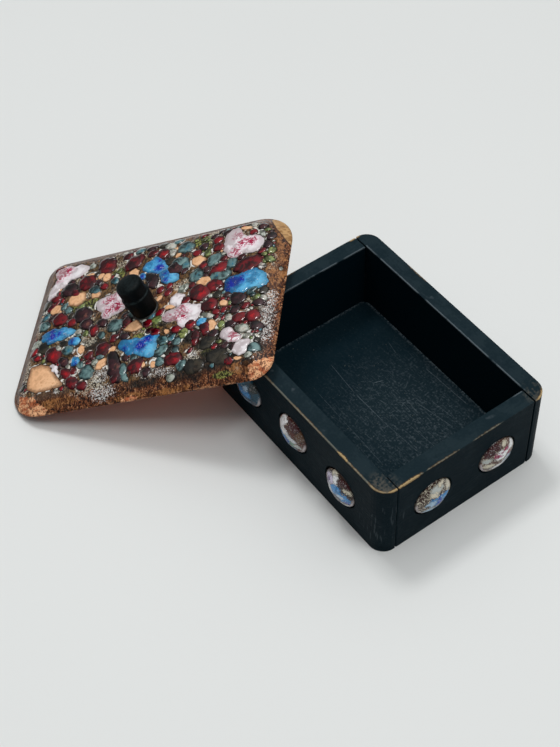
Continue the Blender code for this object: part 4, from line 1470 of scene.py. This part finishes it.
@dataclass
class WallDiscs:
    """The small domed enamel discs in their pockets."""
    radius: float = 7.35
    edge: float = 1.0
    crown: float = 2.6
    pocket: float = 1.2
    gap: float = 0.3
    box: WoodBox = field(default_factory=WoodBox)
    long_inset: float = 21.25
    end_inset: float = 21.0
    near_lifts: Tuple[float, float, float] = (0.0, 1.1, -1.2)
    spokes: int = 96
    rings: int = 30
    # How dark the hollows in a patch of colour are
    shade: float = 0.16

    def paintings(self) -> Dict[str, DiscPainting]:
        """What is laid on each disc. Up is the box's up, and right is as seen from outside."""
        white, cream, grey = paint(250, 250, 252), paint(226, 218, 196), paint(196, 202, 198)
        brown, wine, bark = paint(58, 36, 28), paint(62, 12, 18), paint(84, 34, 22)
        blue, cobalt, pale_blue = paint(52, 144, 212), paint(12, 78, 182), paint(170, 204, 230)
        navy, pink, magenta = paint(18, 22, 58), paint(206, 150, 174), paint(150, 30, 78)
        teal, lilac = paint(34, 108, 140), paint(176, 158, 190)
        ice, rose_rim = paint(214, 220, 226), paint(226, 214, 220)
        return {
            "disc_right_1": DiscPainting(brown, cream, 0.55, (
                (0.4, 4.6, 2.4, 1.5, grey), (-1.4, 3.2, 1.5, 0.8, cream), (5.6, 2.0, 1.3, 3.4, cream),
                (0.4, 0.0, 4.0, 2.1, blue), (3.4, -0.8, 2.1, 1.9, blue), (0.9, -1.0, 1.2, 1.9, cobalt),
                (-2.8, -0.6, 1.8, 1.6, pale_blue), (-3.9, -1.2, 0.7, 0.7, navy),
                (-1.5, -4.2, 3.0, 1.2, pale_blue), (2.6, 5.8, 1.3, 0.7, cream))),
            "disc_right_2": DiscPainting(bark, cream, 0.52, (
                (-2.0, 5.6, 3.2, 1.5, wine), (-4.6, 4.2, 1.7, 1.5, wine), (0.8, 2.2, 3.9, 1.9, white),
                (1.8, 3.4, 1.3, 0.8, magenta), (3.4, 0.8, 1.2, 1.0, magenta), (-0.4, 2.4, 1.0, 0.7, pink),
                (-2.1, 2.4, 1.3, 0.9, magenta), (3.0, -2.2, 2.8, 2.3, paint(176, 192, 212)),
                (2.3, -2.6, 0.9, 0.8, paint(120, 200, 214)), (0.2, -3.4, 3.9, 1.8, white),
                (-5.4, 1.6, 1.5, 1.1, grey), (-4.4, -1.2, 1.7, 1.1, cream), (5.2, 3.0, 1.0, 1.9, white),
                (1.9, 5.8, 1.0, 0.8, cream))),
            "disc_near_3": DiscPainting(brown, cream, 0.35, (
                (2.8, 5.2, 3.0, 1.5, wine), (-1.7, 5.6, 1.5, 1.2, cream), (-0.9, 4.0, 1.8, 1.9, white),
                (-3.2, 2.2, 2.2, 2.7, paint(216, 206, 230)), (-3.8, 2.0, 0.8, 1.2, paint(96, 72, 130)),
                (-1.8, -0.6, 1.7, 2.5, ice), (0.9, 1.0, 2.5, 2.2, blue), (3.8, -0.4, 2.8, 2.2, blue),
                (1.0, -1.6, 1.6, 0.8, navy), (2.5, -0.5, 1.5, 0.9, paint(190, 212, 234)),
                (5.0, -2.2, 1.0, 0.8, cobalt), (5.2, 3.2, 1.5, 0.8, cream), (-2.6, -4.6, 3.0, 1.4, rose_rim),
                (3.0, -5.0, 2.8, 1.3, white))),
            "disc_near_2": DiscPainting(bark, cream, 0.35, (
                (2.6, 5.6, 3.4, 1.6, wine), (5.2, 3.6, 1.6, 2.0, paint(96, 66, 44)),
                (-3.2, 5.0, 1.7, 1.8, white), (-3.9, 2.2, 1.9, 2.6, white), (-1.0, 0.6, 2.9, 2.1, white),
                (1.8, 0.2, 2.5, 1.6, ice),
                (-1.8, -2.0, 3.2, 2.2, blue), (-0.8, -2.6, 1.8, 1.2, cobalt),
                (2.6, -2.0, 1.6, 1.1, paint(130, 170, 150)), (4.6, -1.9, 1.5, 1.3, grey),
                (0.4, -4.4, 2.6, 1.2, pale_blue))),
            "disc_near_1": DiscPainting(paint(20, 74, 96), pale_blue, 0.28, (
                (-1.6, 2.8, 3.0, 3.2, teal), (0.8, 0.2, 3.4, 2.2, blue), (-4.6, 0.0, 1.4, 2.8, white),
                (-0.8, -4.0, 3.2, 1.3, pale_blue), (4.4, 4.4, 1.8, 1.8, paint(30, 44, 44)),
                (1.4, 2.6, 1.1, 1.2, pale_blue))),
            "disc_far_1": DiscPainting(brown, cream, 0.45, (
                (-3.4, 2.6, 2.4, 2.6, white), (-0.6, 4.6, 2.0, 1.0, rose_rim), (2.4, -0.6, 3.4, 2.4, blue),
                (4.6, 2.4, 1.4, 1.6, cobalt), (-2.6, -3.0, 2.4, 1.6, wine),
                (1.0, -4.6, 2.6, 1.1, pale_blue))),
            "disc_far_2": DiscPainting(bark, cream, 0.40, (
                (2.4, 2.6, 3.0, 2.0, white), (-1.4, 1.0, 2.6, 1.6, ice), (4.2, 1.2, 1.0, 1.4, magenta),
                (-3.6, -2.6, 2.4, 2.0, teal), (1.8, -3.2, 3.0, 1.4, pale_blue), (-3.8, 4.2, 1.6, 1.2, wine))),
            "disc_far_3": DiscPainting(brown, grey, 0.40, (
                (-3.0, -0.6, 2.6, 2.8, blue), (-0.6, 1.8, 2.2, 1.2, pale_blue),
                (-4.6, -2.2, 1.2, 1.4, cobalt), (3.4, 3.0, 2.4, 2.0, cream), (2.6, -2.8, 2.6, 1.8, wine),
                (-2.6, 4.8, 1.8, 0.9, white))),
            "disc_left_1": DiscPainting(brown, cream, 0.45, (
                (2.6, 2.6, 2.8, 2.0, white), (-0.6, 0.6, 2.4, 1.2, rose_rim), (-3.6, -1.6, 2.2, 2.4, wine),
                (2.0, -3.2, 3.2, 1.6, blue), (-3.0, 4.2, 1.8, 1.0, pink))),
            "disc_left_2": DiscPainting(bark, cream, 0.42, (
                (-2.6, 2.6, 2.8, 1.8, pale_blue), (-4.8, 0.4, 1.2, 1.6, cobalt), (3.2, -0.8, 2.4, 2.6, white),
                (0.8, -3.6, 2.6, 1.2, lilac), (4.6, 2.6, 1.2, 1.2, magenta), (-3.4, -3.2, 2.0, 1.6, cream))),
        }

    def stands(self) -> Dict[str, Matrix]:
        """Where each disc stands, in metres: X to the right, Y up and Z out of its wall."""
        box = self.box
        pitch_long = (box.length - 2 * self.long_inset) / 2
        pitch_end = box.width - 2 * self.end_inset
        places = {}
        level = box.height / 2
        for number in (1, 2, 3):
            for wall, facing, lift in (("near", -1, self.near_lifts[number - 1]), ("far", 1, 0.0)):
                spot = (pitch_long * (number - 2), facing * box.width / 2, level + lift)
                places[f"disc_{wall}_{number}"] = (spot, (0, facing, 0))
        for number in (1, 2):
            for wall, facing in (("left", -1), ("right", 1)):
                spot = (facing * box.length / 2, pitch_end * (number - 1.5), level)
                places[f"disc_{wall}_{number}"] = (spot, (facing, 0, 0))
        stands = {}
        for name, (spot, out) in places.items():
            outward = Vector(out)
            right = Vector((0, 0, 1)).cross(outward)
            turn = Matrix((right, Vector((0, 0, 1)), outward)).transposed().to_4x4()
            bed = Vector(spot) + outward * (self.gap - self.pocket)
            stands[name] = Matrix.Translation(bed * MM) @ turn
        return stands

    def enamel(self, name: str, painting: DiscPainting) -> bpy.types.Material:
        """Marbled enamel of one disc: a speckled ground with ragged patches of colour."""
        bench = Bench(f"{name}_enamel")
        where = bench.attribute("disc_place", "Vector")
        x, y, _ = bench.split(where)
        shift = float(sum(map(ord, name)) % 97)
        broad = bench.noise(where, 2.6, 3.0, shift, 0.6)
        speck = bench.noise(where, 0.74, 4.0, shift + 1.0, 1.0)
        fine = bench.noise(where, 0.30, 2.0, shift + 2.0)
        turn = 0.74 - 0.32 * painting.share
        grit = speck * 0.55 + fine * 0.45
        colour = bench.mix(painting.ground, painting.speckle, grit.rise(turn - 0.06, turn + 0.02) * 0.9)
        colour = bench.mix(colour, paint(14, 9, 8), (fine * 0.5 + broad * 0.5).rise(0.46, 0.36) * 0.8)
        swirl_x = x + (bench.noise(where, 2.6, 4.0, shift + 3.0) - 0.5) * 3.0
        swirl_y = y + (bench.noise(where, 2.6, 4.0, shift + 4.0) - 0.5) * 3.0
        for spot_x, spot_y, long, wide, tint in painting.patches:
            along, up = (swirl_x - spot_x) / long, (swirl_y - spot_y) / wide
            away = (along * along + up * up) ** 0.5
            edge = away + (grit - 0.5) * 4.6 / min(long, wide)
            lights = bench.mix(tint, paint(246, 246, 248), (fine * 0.6 + speck * 0.5).rise(0.57, 0.76) * 0.65)
            shade = tuple(level * self.shade for level in tint)
            body = bench.mix(lights, shade, (speck + (broad - 0.5) * 0.6).rise(0.41, 0.33) * 0.5)
            colour = bench.mix(colour, paint(14, 10, 10), edge.rise(1.34, 1.10) * 0.4)
            colour = bench.mix(colour, body, edge.rise(1.12, 0.86))
        reach = (x * x + y * y) ** 0.5
        # A pale band on the lower edge: painted reflection of the table
        lower = (y * -1.0 + (broad - 0.5) * 9.0).rise(-2.0, 2.0)
        table_reflection = reach.rise(self.radius - 1.0, self.radius - 0.5) * lower
        colour = bench.mix(colour, paint(212, 202, 204), table_reflection * 0.85)
        colour = bench.mix(colour, paint(20, 14, 14), reach.rise(self.radius - 0.35, self.radius) * 0.8)
        bench.finish(base_color=colour, roughness=0.12 + fine * 0.12, coat_weight=0.45, coat_roughness=0.02,
                     specular_ior_level=0.12, ior=1.52)
        bench.bump(broad * 1.0 + speck * 0.4, 0.40, 0.8)
        return bench.material

    def build(self) -> None:
        """Makes every disc as a domed, lightly lumpy piece in place of its node."""
        sphere = (self.radius ** 2 + self.crown ** 2) / (2 * self.crown)
        paintings = self.paintings()
        for order, (name, stand) in enumerate(sorted(self.stands().items())):
            shares = np.linspace(0, 1, self.rings + 1)[1:]
            angle = np.linspace(0, 2 * math.pi, self.spokes, endpoint=False)
            reach = np.concatenate([[0.0], np.repeat(shares * self.radius, self.spokes)])
            around = np.concatenate([[0.0], np.tile(angle, self.rings)])
            x, y = reach * np.cos(around), reach * np.sin(around)
            z = self.edge + self.crown - sphere + np.sqrt(sphere ** 2 - reach ** 2)
            fade = step(self.radius - reach, 0.2, 1.8)
            z = z + (layered(x, y, 2.6, order * 7 + 3, 3) * 0.16 - 0.12) * fade
            z = z - 0.25 * (1 - step(self.radius - reach, 0.0, 0.4))
            edge_x, edge_y = self.radius * np.cos(angle), self.radius * np.sin(angle)
            foot = np.stack([edge_x, edge_y, np.zeros(self.spokes)], 1)
            points = np.concatenate([np.stack([x, y, z], 1), foot])
            shell = Shell()
            shell.add(points, ring_faces(self.rings + 1, self.spokes), disc_place=points)
            shell.make(f"{name}_dome", self.enamel(name, paintings[name]), stand, "disc_enamel", [name])


# The knob

@dataclass
class Knob:
    """The turned knob, glued near the middle of the lid."""
    foot: float = 4.7
    shoulder: float = 5.25
    head: float = 4.8
    body_height: float = 7.8
    head_height: float = 5.9
    shoulder_round: float = 0.6
    top_round: float = 1.3
    top_crown: float = 0.4
    offset: Point = (-0.3, -0.8)
    lean: float = 1.8
    lean_heading: float = 99.0
    gap: float = 0.3
    spokes: int = 96

    def profile(self) -> List[Point]:
        """Profile of radius and height from the top's middle down to the foot."""
        top = self.body_height + self.head_height
        points = [(0.0, top), (1.2, top - 0.02), (2.4, top - 0.10)]
        brow = self.head - self.top_round
        for part in range(7):
            turn = math.pi / 2 * (1 - part / 6)
            drop = top - self.top_crown - self.top_round
            points.append((brow + self.top_round * math.cos(turn), drop + self.top_round * math.sin(turn)))
        points += [(self.head, self.body_height + 3.4), (self.head - 0.03, self.body_height + 0.6)]
        points += [(self.head - 0.10, self.body_height + 0.14), (self.head - 0.02, self.body_height - 0.05)]
        for part in range(6):
            turn = math.radians(62 - 72 * part / 5)
            points.append((self.shoulder - self.shoulder_round + self.shoulder_round * math.cos(turn),
                           self.body_height - self.shoulder_round + self.shoulder_round * math.sin(turn)))
        points.append((self.shoulder - 0.18, self.body_height * 0.6))
        points.append((self.foot + 0.12, self.body_height * 0.25))
        return points + [(self.foot, 0.25), (self.foot - 0.2, 0.0), (0.4, 0.0)]

    def lacquer(self) -> bpy.types.Material:
        """Black satin lacquer, greenish grey where worn and dusty, and as painted highlight on the head's
        top.
        """
        bench = Bench("knob_lacquer")
        where = bench.attribute("knob_place", "Vector")
        _, _, z = bench.split(where)
        fine = bench.noise(where, 0.8, 4.0)
        broad = bench.noise(where, 3.2, 3.0)
        rings = bench.noise(bench.stretch(where, (0.25, 0.25, 2.2)), 0.7, 2.0)
        colour = bench.mix(paint(4, 8, 9), paint(8, 15, 17), (broad * 0.8 + rings * 0.5).rise(0.55, 0.95))
        step_line = abs(z - self.body_height).rise(0.55, 0.12)
        # The head's top is painted lighter too: painted highlight as well as wear
        brow = (z - (self.body_height + self.head_height - 2.2)).rise(0.0, 2.0)
        wear_and_highlight = (step_line * 0.7 + brow * 0.4) * (fine * 0.7 + broad * 0.5).rise(0.45, 0.75)
        colour = bench.mix(colour, paint(44, 56, 58), wear_and_highlight * 0.7)
        bench.finish(base_color=colour, roughness=0.42 + fine * 0.16, specular_ior_level=0.09, ior=1.5)
        bench.bump(fine * 0.4 + broad * 0.8 + rings * 0.3, 0.16, 0.6)
        return bench.material

    def build(self, lid: LeaningLid) -> None:
        """Turns the knob and stands it on the lid.

        Args:
            lid: The lid that carries it.
        """
        angle = np.linspace(0, 2 * math.pi, self.spokes, endpoint=False)
        profile = self.profile()
        rows = [np.array([[0.0, 0.0, profile[0][1]]])]
        for radius, height in profile[1:]:
            wobble = 1 + 0.006 * grain(np.cos(angle) * 2 + height, np.sin(angle) * 2, 1.2, 4)
            rows.append(np.stack([radius * wobble * np.cos(angle), radius * wobble * np.sin(angle),
                                  np.full(self.spokes, height)], 1))
        points = np.concatenate(rows)
        shell = Shell()
        faces = ring_faces(len(profile) - 1, self.spokes)
        faces.append(list(range(len(points) - self.spokes, len(points)))[::-1])
        shell.add(points, faces, knob_place=points)
        heading = math.radians(self.lean_heading)
        axis = Vector((-math.sin(heading), math.cos(heading), 0))
        lift = self.gap + self.foot * math.sin(math.radians(self.lean))
        foot = Vector((*self.offset, lid.lift + lid.crown + lift)) * MM
        stand = lid.frame() @ Matrix.Translation(foot) @ Matrix.Rotation(math.radians(self.lean), 4, axis)
        shell.make("knob_turned", self.lacquer(), stand, "knob_lacquer", ["knob"])
        collar = Shell()
        inner, outer = self.foot - 0.5, self.foot + 0.45
        bead = [(inner, -0.75), (inner, 0.12), (self.foot + 0.1, 0.02), (self.foot + 0.32, -0.30),
                (outer, -0.75)]
        collar.add(*self.bead_mesh(bead, angle))
        collar.make("knob_glue", self.glue(), lid.frame() @ Matrix.Translation(foot), "knob_lacquer")

    def bead_mesh(self, bead: List[Point], angle: Array) -> Tuple[Array, List[List[int]]]:
        """Mesh of the bead of glue about the knob's foot."""
        spokes = len(angle)
        rows = [np.stack([radius * np.cos(angle), radius * np.sin(angle), np.full(spokes, height)], 1)
                for radius, height in bead]
        faces = []
        for row in range(len(bead)):
            lower = (row + 1) % len(bead)
            for spoke in range(spokes):
                after = (spoke + 1) % spokes
                faces.append([row * spokes + spoke, lower * spokes + spoke, lower * spokes + after,
                              row * spokes + after])
        return np.concatenate(rows), faces

    def glue(self) -> bpy.types.Material:
        """Dark glue that has squeezed out under the knob."""
        bench = Bench("knob_glue")
        fine = bench.noise(bench.place(), 0.8, 3.0)
        bench.finish(base_color=bench.mix(paint(12, 14, 14), paint(40, 38, 34), fine), roughness=0.4)
        bench.bump(fine, 0.2, 0.6)
        return bench.material


# The studio

@dataclass
class Studio:
    """Camera, soft light and the pale table."""
    azimuth: float = 55.592461
    elevation: float = 50.370051
    roll: float = 2.44821
    distance: float = 522.16
    target: Place = (-23.920, -22.203, 16.5)
    focal_pixels: float = 1527.301
    frame_height: float = 747.0
    room_light: float = 0.11
    glow_light: float = 1.16
    glow: Place = (-0.08, 0.24, 0.96)

    def camera(self) -> None:
        """Stands the camera at the photograph's view."""
        azimuth, elevation = math.radians(self.azimuth), math.radians(self.elevation)
        back = Vector((math.sin(azimuth) * math.cos(elevation), -math.cos(azimuth) * math.cos(elevation),
                       math.sin(elevation)))
        right = (-back).cross(Vector((0, 0, 1))).normalized()
        down = (-back).cross(right)
        roll = math.radians(self.roll)
        level = right
        right = level * math.cos(roll) + down * math.sin(roll)
        down = down * math.cos(roll) - level * math.sin(roll)
        data = bpy.data.cameras.new("photo_view")
        data.lens = self.focal_pixels / self.frame_height * data.sensor_width
        data.clip_start, data.clip_end = 0.02, 10.0
        camera = bpy.data.objects.new("photo_view", data)
        turn = Matrix((right, -down, back)).transposed().to_4x4()
        camera.matrix_world = Matrix.Translation((Vector(self.target) + back * self.distance) * MM) @ turn
        bpy.context.scene.collection.objects.link(camera)
        bpy.context.scene.camera = camera

    def lamp(self, name: str, size: Tuple[float, float], power: float, place: Place, aim: Place) -> None:
        """Hangs one soft box.

        Args:
            name: Its name.
            size: Sides of the box, in metres.
            power: Its power, in watts.
            place: Where it hangs, in metres.
            aim: The point it faces.
        """
        data = bpy.data.lights.new(name, "AREA")
        data.shape = "RECTANGLE"
        data.size, data.size_y = size
        data.energy = power
        lamp = bpy.data.objects.new(name, data)
        lamp.location = place
        lamp.rotation_euler = (Vector(aim) - Vector(place)).to_track_quat("-Z", "Y").to_euler()
        bpy.context.scene.collection.objects.link(lamp)

    def table(self) -> None:
        """The pale table top under the part."""
        side, cells = 3.0, 12
        marks = np.linspace(-side, side, cells + 1)
        x, y = np.meshgrid(marks, marks)
        points = np.stack([x.ravel(), y.ravel(), np.zeros(x.size)], 1)
        mesh = bpy.data.meshes.new("table_top")
        mesh.from_pydata(points.tolist(), [], LeaningLid.grid_faces((cells + 1, cells + 1)))
        bench = Bench("table_top")
        where = bench.place()
        broad = bench.noise(where, 260.0, 2.0)
        fine = bench.noise(where, 3.0, 2.0)
        colour = bench.mix(paint(224, 226, 225), paint(230, 232, 231), broad)
        bench.finish(base_color=colour, roughness=0.5 + fine * 0.1, specular_ior_level=0.3)
        mesh.materials.append(bench.material)
        table = bpy.data.objects.new("table_top", mesh)
        bpy.context.scene.collection.objects.link(table)

    def build(self) -> None:
        """Sets the camera, the lights and the table."""
        scene = bpy.context.scene
        scene.view_settings.view_transform = "Standard"
        world = bpy.data.worlds.new("studio")
        scene.world = world
        world.use_nodes = True
        tree = world.node_tree
        sky = tree.nodes["Background"]
        sky.inputs["Color"].default_value = (0.985, 1.0, 1.0, 1.0)
        # The room is bright high up behind the box and dim at the level of the table
        way = tree.nodes.new("ShaderNodeTexCoord")
        toward = tree.nodes.new("ShaderNodeVectorMath")
        toward.operation = "DOT_PRODUCT"
        toward.inputs[1].default_value = Vector(self.glow).normalized()
        inside = tree.nodes.new("ShaderNodeMath")
        inside.operation = "MAXIMUM"
        inside.inputs[1].default_value = 0.0
        steep = tree.nodes.new("ShaderNodeMath")
        steep.operation = "POWER"
        steep.inputs[1].default_value = 3.2
        level = tree.nodes.new("ShaderNodeMapRange")
        level.inputs["To Min"].default_value = self.room_light
        level.inputs["To Max"].default_value = self.glow_light
        tree.links.new(way.outputs["Generated"], toward.inputs[0])
        tree.links.new(toward.outputs["Value"], inside.inputs[0])
        tree.links.new(inside.outputs[0], steep.inputs[0])
        tree.links.new(steep.outputs[0], level.inputs["Value"])
        tree.links.new(level.outputs["Result"], sky.inputs["Strength"])
        self.lamp("ceiling_box", (0.30, 0.20), 3.4, (-0.43, 0.02, 1.05), (-0.07, -0.05, 0.0))
        self.lamp("ceiling_strip", (0.50, 0.12), 2.9, (0.34, 0.02, 1.05), (0.0, 0.0, 0.0))
        self.camera()
        self.table()


def main() -> None:
    """Builds the looks, piece by piece."""
    logging.basicConfig(level=logging.INFO, format="%(name)s: %(message)s")
    Studio().build()
    WoodBox().dress()
    WallDiscs().build()
    lid = LeaningLid(lumps=lid_lumps(), flakes=lid_flakes(), shards=lid_shards())
    lid.build()
    Knob().build(lid)


if __name__ == "__main__":
    main()
